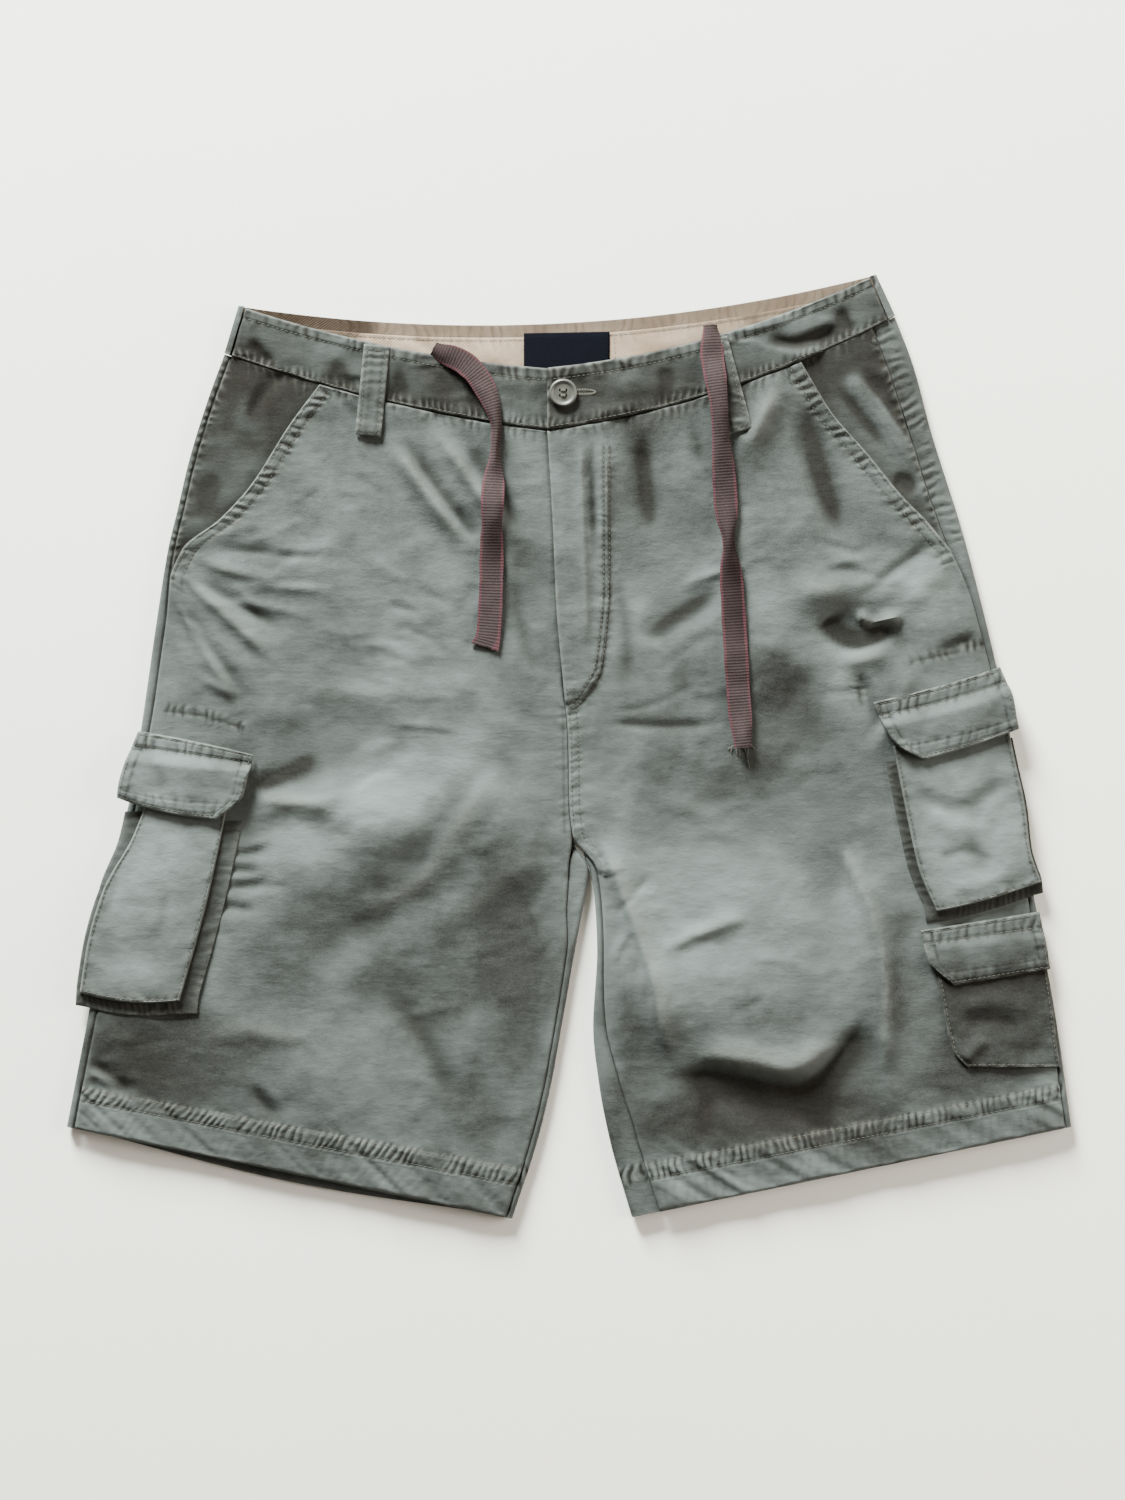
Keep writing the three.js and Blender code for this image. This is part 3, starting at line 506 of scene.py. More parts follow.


# Sage colours: mid is the plain tone; light and dark end the mottle, which carries random tone and painted highlight
# and shade; the brown is painted shade; the pale rubbed colour also gives painted highlight on pucker crests
sage = {
    "mid": (0.043, 0.0432, 0.0412, 1),
    "light": (0.155, 0.176, 0.166, 1),
    "dark": (0.0165, 0.0155, 0.0132, 1),
    "paintedShadeBrown": (0.011, 0.0088, 0.0064, 1),
    "wearAndHighlight": (0.15, 0.152, 0.136, 1),
    "pitch": 0.0011,
}


def sageCloth():
    finish = Finish("sageCloth", 0.97)
    washed = finish.noise(finish.place, 9, 3)
    patches = finish.noise(finish.place, 38, 4, 0.6)
    heather = finish.noise(finish.place, 900, 2)
    slubs = finish.noise(finish.place, 240, 2)
    # The mottle mixes random washed-out tone with the painted highlight and painted shade of the listed areas
    mottleAndPaintedLight = (washed - 0.5) * 1.1 + (patches - 0.5) * 0.9 + (finish.attribute("washAndPaintedLight") - 0.5) * 1.3 + 0.4
    base = finish.blend(mottleAndPaintedLight.clamped(), sage["dark"], sage["light"])
    base = finish.blend(0.25, base, sage["mid"])
    speck = ((heather - 0.5) * 1.5 + (slubs - 0.5) * 0.8 + 0.5).clamped()
    base = finish.blend(speck * 0.12, base, sage["light"])
    # Painted shade in creases, seam grooves and under edges
    base = finish.blend(finish.attribute("paintedShade") * 0.88, base, sage["paintedShadeBrown"])
    base = finish.blend(speck * 0.05, base, sage["light"])
    # Paler where edges are rubbed, plus painted highlight on crests that face the light
    paleWearAndHighlight = (finish.attribute("wearAndHighlight") * (finish.noise(finish.place, 420, 3) * 1.5 + 0.15)).clamped()
    base = finish.blend(paleWearAndHighlight * 0.72, base, sage["wearAndHighlight"])
    pulled, tick = puckers(finish)
    # Painted shade in the pucker troughs and painted highlight on their crests
    base = finish.blend(((tick * -1.0 - 0.1) * pulled * 1.5).clamped() * 0.8, base, sage["paintedShadeBrown"])
    finish.colour(finish.blend(((tick - 0.25) * pulled).clamped() * 0.4, base, sage["wearAndHighlight"]))
    wrinkled = finish.noise(finish.place, 60, 3, 0.6, "RIDGED_MULTIFRACTAL") * 0.24
    drawnOut = finish.node("ShaderNodeVectorMath", {"operation": "MULTIPLY"}, {0: finish.place, 1: (0.42, 1.2, 1.0)})
    wrinkled = wrinkled + finish.noise(drawnOut, 75, 4, 0.62) * 0.5 + finish.noise(finish.place, 130, 3, 0.6) * 0.3
    surface = wrinkled + tick * pulled * 0.3 + plainWeave(finish, sage["pitch"]) * 0.06 + heather * 0.06
    finish.bump(surface, 0.0017, 0.8)
    return finish.material


twillLook = {"pitch": 0.0021, "pale": (0.44, 0.335, 0.25), "dark": (0.28, 0.2, 0.14), "rib": (0.17, 0.115, 0.075),
             "shade": (0.03, 0.019, 0.012)}


def tanTwill(name="tanTwill", depth=1.0):
    finish = Finish(name, 0.95)
    pale, dark, rib, shade = ([c * depth for c in twillLook[key]] + [1] for key in ("pale", "dark", "rib", "shade"))
    twill = wave(finish.axis(finish.threads, "X") + finish.axis(finish.threads, "Y"), twillLook["pitch"])
    tone = finish.blend(((finish.noise(finish.place, 30, 3) - 0.3) * 2.4).clamped(), dark, pale)
    pulled, tick = puckers(finish)
    # Painted shade in the pucker troughs, then painted shade from the shade channel
    tone = finish.blend(((tick * -1.0 - 0.1) * pulled).clamped() * 0.6, tone, rib)
    tone = finish.blend(finish.attribute("paintedShade") * 0.9, tone, shade)
    finish.colour(finish.blend(twill * 0.25, tone, rib))
    finish.bump(twill * 0.2 + finish.noise(finish.place, 60, 3) * 1.4 + tick * pulled * 0.3, 0.0014, 0.7)
    return finish.material


labelPitch = 0.0008


def navyLabel():
    finish = Finish("navyLabel", 0.9)
    fine = finish.noise(finish.place, 700, 2)
    finish.colour(finish.blend(fine * 0.5, (0.0015, 0.0017, 0.0035, 1), (0.005, 0.0055, 0.0105, 1)))
    finish.bump(plainWeave(finish, labelPitch) + fine, 0.0003, 0.5)
    return finish.material


tapeLook = {
    "rib": 0.0019, "half": 0.0076, "selvedge": 0.0019,
    "rose": (0.028, 0.0155, 0.0152, 1), "pale": (0.059, 0.046, 0.044, 1),
    "deep": (0.012, 0.0067, 0.0065, 1), "pink": (0.09, 0.031, 0.038, 1),
}


def ribbedTape():
    finish = Finish("ribbedTape", 0.95)
    ribs = wave(finish.axis(finish.threads, "Y") + finish.noise(finish.threads, 300, 2) * 0.0004, tapeLook["rib"])
    fibre = finish.noise(finish.place, 1100, 2)
    fromMiddle = (finish.axis(finish.threads, "X") - tapeLook["half"]).maths("ABSOLUTE")
    edge = ((fromMiddle - tapeLook["half"] + tapeLook["selvedge"]) * 1600).clamped()
    rose = finish.blend(fibre, tapeLook["deep"], tapeLook["rose"])
    ribbed = finish.blend((ribs * 0.55 + fibre * 0.8 - 0.22).clamped(), rose, tapeLook["pale"])
    # Painted shade where the tape folds and twists
    ribbed = finish.blend(finish.attribute("paintedShade") * 0.85, ribbed, tapeLook["deep"])
    finish.colour(finish.blend(edge * (fibre * 0.6 + 0.2), ribbed, tapeLook["pink"]))
    finish.bump(ribs * 0.6 + fibre * 0.6 + edge * 0.3, 0.00028, 0.7)
    return finish.material


def greyResin():
    finish = Finish("greyResin", 0.42, 0.45)
    cloud = finish.noise(finish.place, 160, 3)
    finish.colour(finish.blend(cloud, (0.042, 0.0425, 0.034, 1), (0.07, 0.0705, 0.057, 1)))
    finish.bump(finish.noise(finish.place, 900, 2), 0.0001, 0.3)
    return finish.material


def sewingThread(name, dark, light):
    finish = Finish(name, 0.85)
    finish.colour(finish.blend(finish.noise(finish.place, 600, 2), dark, light))
    return finish.material


def paleFloor():
    finish = Finish("paleFloor", 0.9)
    finish.colour(finish.blend(finish.noise(finish.place, 6, 2), (0.97, 0.94, 0.85, 1), (1.0, 0.97, 0.885, 1)))
    return finish.material


sageFinish = sageCloth()
twillFinish = tanTwill()
labelFinish = navyLabel()
tapeFinish = ribbedTape()
resinFinish = greyResin()
stripFinish = tanTwill("innerStrip", 0.42)
sageThread = sewingThread("sageThread", (0.05, 0.052, 0.043, 1), (0.095, 0.097, 0.082, 1))
paleThread = sewingThread("paleThread", (0.075, 0.07, 0.056, 1), (0.13, 0.124, 0.104, 1))
print("shorts: finishes made")


# Shares of a span, close together over stitched stretches at its two ends
def places(length, step, first=2, last=2, fine=0.7):
    opening = np.concatenate([[0, 0.4], np.linspace(1.0, max(first, 1.8), max(2, int(first / fine)))])
    closing = length - np.concatenate([[0, 0.4], np.linspace(1.0, max(last, 1.8), max(2, int(last / fine)))])[::-1]
    count = max(2, int(round((closing[0] - opening[-1]) / step)))
    middle = np.linspace(opening[-1], closing[0], count + 1)[1:-1]
    return np.concatenate([opening, middle, closing]) / length


shells = {}

# Paler and darker areas of the cloth, partly washed-out tone and partly painted highlight and painted shade
# where broad folds face toward or away from the light: centre, direction in degrees, half length, half width and amount
washesAndPaintedLight = [
    (-102, -28, 22, 90, 24, 1.2), (-150, 10, 40, 50, 20, 0.4), (-95, -97, 22, 95, 26, -0.25),
    (-40, -110, -75, 70, 26, -0.5), (-90, -200, 20, 60, 22, 0.35), (-215, -190, 30, 45, 25, -0.2),
    (-235, 210, 70, 60, 30, -0.9), (-70, 110, -50, 60, 26, 0.2), (-150, 150, 30, 60, 22, 0.25),
    (-30, 60, -80, 60, 18, -0.25), (-275, -100, 75, 60, 34, 1.1), (-180, -60, 10, 40, 16, 0.3),
    (58, 96, 42, 65, 22, 0.6), (78, -100, 20, 66, 40, 1.2), (110, -15, 4, 85, 22, -0.35),
    (36, -200, 80, 60, 13, -0.6), (112, -198, 5, 50, 14, 0.6), (165, -246, -10, 70, 16, -0.5),
    (143, 32, -58, 36, 20, -0.7), (140, 94, -22, 26, 15, 0.6), (205, 105, 10, 32, 20, 0.6),
    (180, -130, 85, 60, 16, 0.45), (208, -150, 85, 60, 9, -0.5), (70, 215, 20, 50, 20, -0.3),
    (258, -60, 75, 44, 26, 1.2), (275, -180, 60, 50, 36, -1.3), (9, 90, 88, 60, 9, -0.15),
    (215, 215, 120, 50, 22, -0.4), (80, -250, 10, 40, 14, 0.2), (0, 225, 0, 200, 18, -0.35),
    (235, 0, 80, 30, 20, 0.1), (-262, -197, -10, 44, 24, -1.5), (110, -238, 6, 75, 17, -1.3),
    (260, -66, 60, 40, 25, 0.5), (172, 45, 40, 20, 14, 0.7), (232, 100, 60, 20, 14, 0.6),
    (-70, -160, 30, 70, 40, -0.35), (250, -30, 60, 40, 30, 0.5),
]

# Where folds keep the light out over a broad area, in the same columns
shades = [
    (112, -242, 4, 80, 17, 0.55), (-274, -200, -40, 40, 19, 0.6), (52, -210, 78, 46, 9, 0.3),
    (40, 190, 88, 26, 9, 0.35), (92, 190, 80, 40, 8, 0.4), (-40, -85, 45, 44, 10, 0.15),
    (-216, -176, 10, 24, 10, 0.3), (214, -112, 20, 26, 8, 0.5),
]


# Crumpled relief: thin ridges and flats between them, bent so that none runs straight
def crumple(x, y, size, seed):
    bentX = x + 0.5 * size * softNoise(x, y, 1.7 * size, seed + 50)
    bentY = y + 0.5 * size * softNoise(x, y, 1.7 * size, seed + 51)
    return 1 - 2.2 * np.sqrt(softNoise(bentX, bentY, size, seed) ** 2 + 0.01)


def setAttribute(mesh, name, values):
    mesh.attributes.new(name, "FLOAT", "POINT").data.foreach_set("value", values.ravel().astype(np.float32))


# A sheet of cloth: a grid whose points are moved to their places, then thickened below its face.
# Per place, between 0 and 1: how rubbed it is, with painted highlight on some crests; how much painted shade it
# carries in creases, seam grooves and under edges; and how far sewing draws it up.
def clothSheet(name, x, y, z, thickness, finish, node, wearAndHighlight=None, paintedShade=None, sewn=None, facing=1,
               evenRows=False, inside=None):
    rows, columns = x.shape
    bpy.ops.object.select_all(action="DESELECT")
    bpy.ops.mesh.primitive_grid_add(x_subdivisions=columns - 1, y_subdivisions=rows - 1, size=1)
    sheet = bpy.context.object
    sheet.name = sheet.data.name = name
    mesh = sheet.data
    points = np.stack([x, y, z], axis=-1) * mm
    mesh.vertices.foreach_set("co", points.ravel())
    across = np.linalg.norm(np.diff(points, axis=1, prepend=points[:, :1]), axis=2).cumsum(axis=1)
    along = np.linalg.norm(np.diff(points, axis=0, prepend=points[:1]), axis=2).cumsum(axis=0)
    if evenRows:
        along = along.mean(axis=1, keepdims=True) + 0 * across
    corner = np.empty(len(mesh.loops), dtype=np.int32)
    mesh.loops.foreach_get("vertex_index", corner)
    threads = np.stack([across.ravel(), along.ravel()], axis=1)[corner]
    mesh.uv_layers.active.data.foreach_set("uv", threads.ravel())
    # Washed-out tone together with painted highlight and painted shade from the listed areas
    washAndPaintedLight = 0.5 + 0.5 * np.clip(ovals(washesAndPaintedLight, x, y), -1, 1)
    strength, run = sewn or (None, x)
    setAttribute(mesh, "run", run * mm)
    for key, values in (("wearAndHighlight", wearAndHighlight), ("paintedShade", paintedShade), ("sewn", strength), ("washAndPaintedLight", washAndPaintedLight)):
        setAttribute(mesh, key, np.clip(0 * x if values is None else values, 0, 1))
    row, column = rows // 2, columns // 2
    a, b, c = points[row, column], points[row, column + 1], points[row + 1, column]
    if np.cross(b - a, c - a)[2] * facing < 0:
        mesh.flip_normals()
    mesh.materials.append(finish)
    solidify = sheet.modifiers.new("layer", "SOLIDIFY")
    solidify.thickness, solidify.offset = thickness * mm, -1
    if inside:
        mesh.materials.append(inside)
        solidify.material_offset = 1
    bpy.ops.object.modifier_apply(modifier="layer")
    bpy.ops.object.shade_smooth_by_angle(angle=math.radians(55))
    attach(sheet, "root")
    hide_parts(node)
    shells[name] = sheet
    return sheet


# Flat size of a sheet in metres, measured along its cloth
def cutSize(x, y, z):
    points = np.stack([x, y, z], axis=-1) * mm
    wide = np.linalg.norm(np.diff(points, axis=1), axis=2)
    tall = np.linalg.norm(np.diff(points, axis=0), axis=2)
    cells = 0.25 * (wide[1:] + wide[:-1]) * (tall[:, 1:] + tall[:, :-1])
    return float(wide.sum(axis=1).max()), float(tall.sum(axis=0).max()), float(cells.sum())


# How much a place near stitched rows is drawn up, and how far along its seam it lies:
# each part is a distance from the seam's edge, a distance along it, its last row, its reach and an amount
def drawnUp(*parts):
    strength, run = np.zeros(np.shape(parts[0][0])), np.zeros(np.shape(parts[0][0]))
    for distance, along, last, reach, amount in parts:
        here = amount * smooth(distance / 1.6) * bell(np.maximum(distance - last, 0), reach)
        run = np.where(here > strength, along, run)
        strength = np.maximum(strength, here)
    return strength, run


# Painted shade: darker broken lines in the grooves where rows of stitches sink into the cloth
def stitchShade(distance, along, rows, seed):
    return sum(bell(distance - row, 0.9) for row in rows) * (0.5 + 0.4 * ripple(along, 2.6, seed))


# Unevenness along a seam
def ripple(along, size, seed):
    return softNoise(along, np.zeros_like(along) + seed * 3.1, size, seed)


# Relief beside an edge that is turned in and stitched: rounded rim, grooves at the rows, puckers beyond them
def stitchedEdge(distance, along, seed, rows=(2.0, 7.5), pucker=0.45, size=6.5, rim=0.8, reach=7):
    relief = -rim * (1 - np.clip(distance / 1.2, 0, 1)) ** 2
    for row in rows:
        relief -= 0.45 * bell(distance - row, 0.8)
    last = rows[-1] if rows else 0
    inside = smooth(distance / 2.5) * np.exp(-np.maximum(distance - last, 0) / reach)
    bead = 0.4 * smooth(distance / 1.5) * (1 - smooth((distance - last) / 1.5))
    return relief + bead + 1.5 * pucker * inside * ripple(along + distance * 0.25, size, seed)


def rubbedEdge(distance, along, seed, width=1.5):
    return bell(distance, width) * (0.35 + 0.45 * ripple(along, 4, seed))


# Relief along a seam that runs over a panel, with puckers on both sides
def seamAcross(x, y, line, seed, pucker, depth=0.5):
    signed, along, total = fromLine(x, y, line)
    distance = np.abs(signed)
    ends = smooth(along / 4) * smooth((total - along) / 4)
    raised = pucker * np.exp(-distance / 6) * ripple(along, 6, seed)
    return (raised - depth * bell(distance, 1.0)) * (distance < 30) * ends


def panelBase(side, v, s, length, start):
    u = s / length
    x, y = legPoint(side, v, u)
    lift = cloth["mouthLift"] * np.clip(1 - (s - start) / cloth["mouthReach"], 0, 1) ** 2
    return x, y, drape(side, x, y) + lift * (1 - smooth((v - cloth["mouthEnd"]) / 0.06))


seams = {
    "right": {
        "upperPocket": [(-262, 24), (-236, 20), (-207, 11.5)],
        "crotch": [(-4, 27), (-3, -57)],
    },
    "left": {
        "upperPocket": [(214, 52.5), (238, 58), (268, 66)],
        "upperShort": [(186, 47), (186, 23)],
        "fly": [(22, 193), (22.5, 93), (17.5, 49), (6, 31), (-1, 27)],
        "flyInner": [(25.6, 193), (26, 93), (21, 47), (8.5, 27.5), (-1, 22.5)],
    },
}


# Directions that the small creases of a leg follow: place and direction in degrees
pulls = {
    "right": [(-60, 165, -52), (-230, 80, -45), (-180, 100, 20), (-150, -40, 15), (-60, -60, 35), (-100, -180, 30),
              (-250, -200, 20), (-60, -230, 60), (-30, 60, 80), (-110, 60, -20)],
    "left": [(40, 165, 90), (150, 190, 110), (60, 90, 35), (190, 80, 0), (120, 10, 80), (60, -60, 30),
             (120, -130, 15), (180, -150, 100), (100, -230, 10), (250, 100, 120), (30, -200, 80)],
}
lowestFront = 3.4
hemMiddle = 22
hemLean = {"right": -0.9, "left": 0.1}


def smallCreases(side, count, seed):
    chance = np.random.default_rng(seed)
    found = []
    for _ in range(count):
        v, u = chance.uniform(0.02, 0.93), chance.uniform(0.06, 0.94)
        x, y = (float(value) for value in legPoint(side, v, u))
        px, py, turn = min(pulls[side], key=lambda pull: math.hypot(pull[0] - x, pull[1] - y))
        turn = math.radians(turn + chance.uniform(-22, 22))
        half = chance.uniform(10, 30)
        bend = chance.uniform(-0.22, 0.22) * half
        dx, dy = math.cos(turn), math.sin(turn)
        line = [(x - half * dx, y - half * dy), (x - bend * dy, y + bend * dx), (x + half * dx, y + half * dy)]
        height = chance.choice([-1, 1]) * chance.uniform(0.3, 0.85)
        found.append(crease(height, chance.uniform(1.2, 3.6), chance.uniform(1.2, 3.6), *line, end=0.4 * half))
    return found


# Front panel of a leg, lying over the back and the fly
def drawFront(side, seed):
    rows = places(cloth["length"], 2.0, first=5, last=30, fine=0.9)
    last, fine = (42, 1.0) if side == "left" else (4, 0.8)
    columns = places(cloth["width"], 2.2, first=11, last=last, fine=fine)
    v = rows[:, None] + 0 * columns[None, :]
    length = legLength(side, v)
    wrapOut, wrapIn, mouth = (legValue(side, key, v) for key in ("wrapOut", "wrapIn", "mouth"))
    start = np.maximum(wrapOut + cloth["seamGap"], mouth)
    underlap = cloth["flyUnderlap"] * smooth((cloth["flyEnd"] - v) / 0.1) if side == "right" else 0
    end = length - wrapIn - np.minimum(wrapIn, cloth["seamGap"]) + underlap
    s = mix(start, end, columns[None, :])
    x, y, z = panelBase(side, v, s, length, start)
    fromOuter, fromInner = s - start, end - s
    down, fromHem = v * cloth["length"], (1 - v) * cloth["length"]
    onMouth = 1 - smooth((v - cloth["mouthEnd"]) / 0.02)
    hem = smooth((v - cloth["hemStart"]) / 0.003)
    z += hem * cloth["hemRise"]
    if side == "left":
        z += flyLift(x, y)
    placed = creaseHeight(x, y, creases[side])
    narrow = [one for one in creases[side] if one["near"] < 15 or one["far"] < 15]
    sharp = creaseHeight(x, y, narrow, 0.7)
    relief = 1.35 * placed + 0.5 * sharp
    quiet = smooth(fromHem / 30) * 0.8 + 0.2
    inside = smooth(np.minimum(fromOuter, fromInner) / 8)
    relief *= smooth(np.minimum(fromOuter, fromInner) / 5) * quiet * smooth(down / 7)
    relief += (1.5 * softNoise(x, y, 52, seed) + 0.5 * crumple(x, y, 30, seed + 1)) * inside * quiet
    relief += 0.25 * crumple(x, y, 16, seed + 20) * inside + 0.25 * softNoise(x, y, 11, seed + 21) * inside
    small = creaseHeight(x, y, smallCreases(side, 64, seed + 30)) * inside * quiet
    relief += 0.13 * crumple(x, y, 7, seed + 2) + small
    mouthEdge = stitchedEdge(fromOuter, down, seed + 3, rows=cloth["mouthRows"], pucker=0.5, size=6)
    plainEdge = stitchedEdge(fromOuter, down, seed + 4, rows=(), pucker=0.5, size=7, rim=1.0)
    relief += mix(plainEdge, mouthEdge, onMouth)
    relief += stitchedEdge(fromHem, x + 1.2 * fromHem, seed + 5, cloth["hemRows"], pucker=0.7, size=6, rim=0.7,
                           reach=6)
    relief += 0.6 * smooth(fromHem / 3) * (1 - smooth((fromHem - 22) / 6)) * ripple(x + 1.4 * fromHem, 8, seed + 6)
    pastFly = smooth((v - cloth["flyEnd"]) / 0.02)
    pastInseam = smooth((v - cloth["inseamSewnTo"]) / 0.02)
    if side == "left":
        relief += stitchedEdge(fromInner, down, seed + 7, rows=(), pucker=0.4, size=9, rim=0.9) * (1 - pastFly)
        relief += seamAcross(x, y, seams["left"]["fly"], seed + 8, pucker=0.4, depth=0.4)
        relief += seamAcross(x, y, seams["left"]["flyInner"], seed + 9, pucker=0.25, depth=0.3)
        inseam = stitchedEdge(fromInner, down, seed + 10, rows=cloth["inseamRows"], pucker=0.6, size=7)
        relief += inseam * pastFly * (1 - pastInseam)
        relief += stitchedEdge(fromInner, down, seed + 11, rows=(), pucker=0.5, size=8, rim=1.0) * pastInseam
    else:
        relief += stitchedEdge(fromInner, down, seed + 7, rows=(), pucker=0.5, size=8, rim=1.0)
    relief += stitchedEdge(down, x, seed + 12, rows=(), pucker=0.6, size=8, rim=1.8)
    for key in ("upperPocket", "upperShort"):
        if key in seams[side]:
            relief += seamAcross(x, y, seams[side][key], seed + 13, pucker=0.55)
    wearAndHighlight = rubbedEdge(fromOuter, down, seed + 14) * (0.35 + 0.55 * onMouth) + rubbedEdge(fromHem, x, seed + 15, 1.3)
    wearAndHighlight += 0.35 * bell(fromHem - 26.5, 2.0) * (0.5 + 0.5 * ripple(x, 6, seed + 16))
    wearAndHighlight += 0.5 * onMouth * bell(fromOuter - 9.5, 2.5) * np.clip(ripple(down, 7, seed + 17) * 1.4, 0, 1)
    wearAndHighlight += 0.45 * rubbedEdge(down, x, seed + 18, 1.6)
    if side == "left":
        wearAndHighlight += rubbedEdge(fromInner, down, seed + 19, 1.4) * (1 - 0.7 * smooth((v - 0.58) / 0.02))
    # Painted shade in the narrow creases and deep troughs
    deep = np.clip(-creaseHeight(x, y, narrow) / 2.8, 0, 1) * 0.6 + np.clip(-sharp / 2.4, 0, 1) * 0.5
    paintedShade = np.clip(-relief / 4, 0, 1) * 0.35 + 0.95 * deep
    # Painted shade in the stitch grooves at the mouth and hem, and painted shadow along the top edge under the band
    paintedShade += 0.6 * stitchShade(fromOuter, down, cloth["mouthRows"], seed + 40) * onMouth
    paintedShade += 0.95 * stitchShade(fromHem, x, cloth["hemRows"], seed + 41) + 0.35 * bell(down, 1.5)
    # Painted highlight along the crests of the sharp ridges
    wearAndHighlight += 0.55 * np.clip(sharp / 2.6 - 0.1, 0, 1)
    paintedShade += np.clip(ovals(shades, x, y), -1, 1)
    if side == "left":
        for key in ("fly", "flyInner"):
            signed, run, _ = fromLine(x, y, seams["left"][key])
            paintedShade += 0.7 * stitchShade(np.abs(signed), run, (0,), seed + 42)
    hemSlant = 1.35 * x + hemLean[side] * fromHem
    parts = [(fromOuter, down, 8.5, 2.5, 0.9 * onMouth), (np.abs(fromHem - hemMiddle) + 1, hemSlant, 4.5, 1.6, 0.8),
             (fromHem, 0.7 * hemSlant, 14, 4, 0.12), (down, x, 1.0, 6, 0.7)]
    for key, line in seams[side].items():
        signed, run, total = fromLine(x, y, line)
        onSeam = smooth(run / 3) * smooth((total - run) / 3)
        strong, seamShade = (0.7, 0.85) if key.startswith("upper") else (0.25, 0.5)
        parts.append((np.abs(signed) + 1, run, 2, 3, strong * onSeam * (np.abs(signed) < 12)))
        # Painted shade in the seam grooves
        paintedShade += seamShade * bell(signed, 1.1) * onSeam
    if side == "left":
        parts.append((fromInner, down, 6.5, 2.5, 0.3 * smooth((v - 0.3) / 0.05) * (1 - pastInseam)))
    else:
        fromFly = np.maximum(fromInner - underlap, 0)
        # Painted shadow beside the fly's edge
        paintedShade += 0.8 * bell(fromFly, 1.5) * (v < cloth["flyEnd"] + 0.01)
    relief = np.maximum(relief, lowestFront - z + 0.3 * np.tanh((relief + z - lowestFront) / 3))
    name = f"front{side.title()}"
    clothSheet(name, x, y, z + relief, cloth["thickness"], sageFinish, f"front_{side}", wearAndHighlight, paintedShade,
               drawnUp(*parts))
    cutSize(x, y, z + relief)


drawFront("right", 100)
drawFront("left", 200)
print("shorts: front panels laid")


# Section of a panel that turns up round a leg's edges: distance along the section and height, sampled finely
def traySection(length, height, wrapOut, wrapIn, innerTurn, flatStep):
    middle = height / 2
    turn = np.linspace(0, math.pi, 9)

    def turned(wrap):
        strip = np.linspace(wrap, middle, 7)[:-1]
        s = np.concatenate([strip, middle - middle * np.sin(turn)])
        z = np.concatenate([np.full(len(strip), height), middle + middle * np.cos(turn)])
        return s, z

    outerS, outerZ = turned(wrapOut)
    innerS, innerZ = turned(max(wrapIn, middle + 0.5))
    innerS = length - innerS
    flatS = length - cloth["seamGap"] / 2 - 0.7 * np.arange(len(innerS))
    innerS, innerZ = mix(flatS, innerS, innerTurn), innerZ * innerTurn
    count = max(8, int((length - 8) / flatStep))
    flat = np.linspace(outerS[-1], innerS[-1], count + 1)[1:-1]
    return np.concatenate([outerS, flat, innerS[::-1]]), np.concatenate([outerZ, 0 * flat, innerZ[::-1]])


# Sections of differing counts made one grid: their turned ends stay as sampled, the flats between are spread anew
def fitSections(sections):
    columns = min(len(s) for s, _, _ in sections)
    turned = 15
    grid = []
    for s, z, length in sections:
        here = np.arange(len(s))
        middle = np.linspace(turned, len(s) - turned - 1, columns - 2 * turned)
        at = np.concatenate([here[:turned], middle, here[-turned:]])
        grid.append((np.interp(at, here, s), np.interp(at, here, z), np.full(columns, length)))
    return (np.array([row[k] for row in grid]) for k in range(3))


backCreases = {
    "right": [
        crease(1.4, 8, 6, (-225, 190), (-180, 165), (-120, 160)),
        crease(1.5, 6, 9, (-60, 30), (-100, 0), (-150, -10)),
        crease(1.2, 7, 7, (-250, -90), (-190, -70), (-140, -85)),
        crease(1.3, 8, 6, (-40, -120), (-90, -140), (-150, -135)),
        crease(1.0, 6, 6, (-260, 60), (-220, 40), (-190, 10)),
    ],
    "left": [
        crease(1.4, 8, 6, (230, 180), (180, 160), (125, 165)), crease(1.5, 7, 9, (50, 25), (100, 5), (150, -5)),
        crease(1.2, 7, 7, (260, -80), (200, -65), (145, -90)),
        crease(1.3, 8, 6, (50, -125), (95, -145), (150, -140)), crease(1.0, 6, 6, (255, 70), (225, 45), (190, 20)),
    ],
}


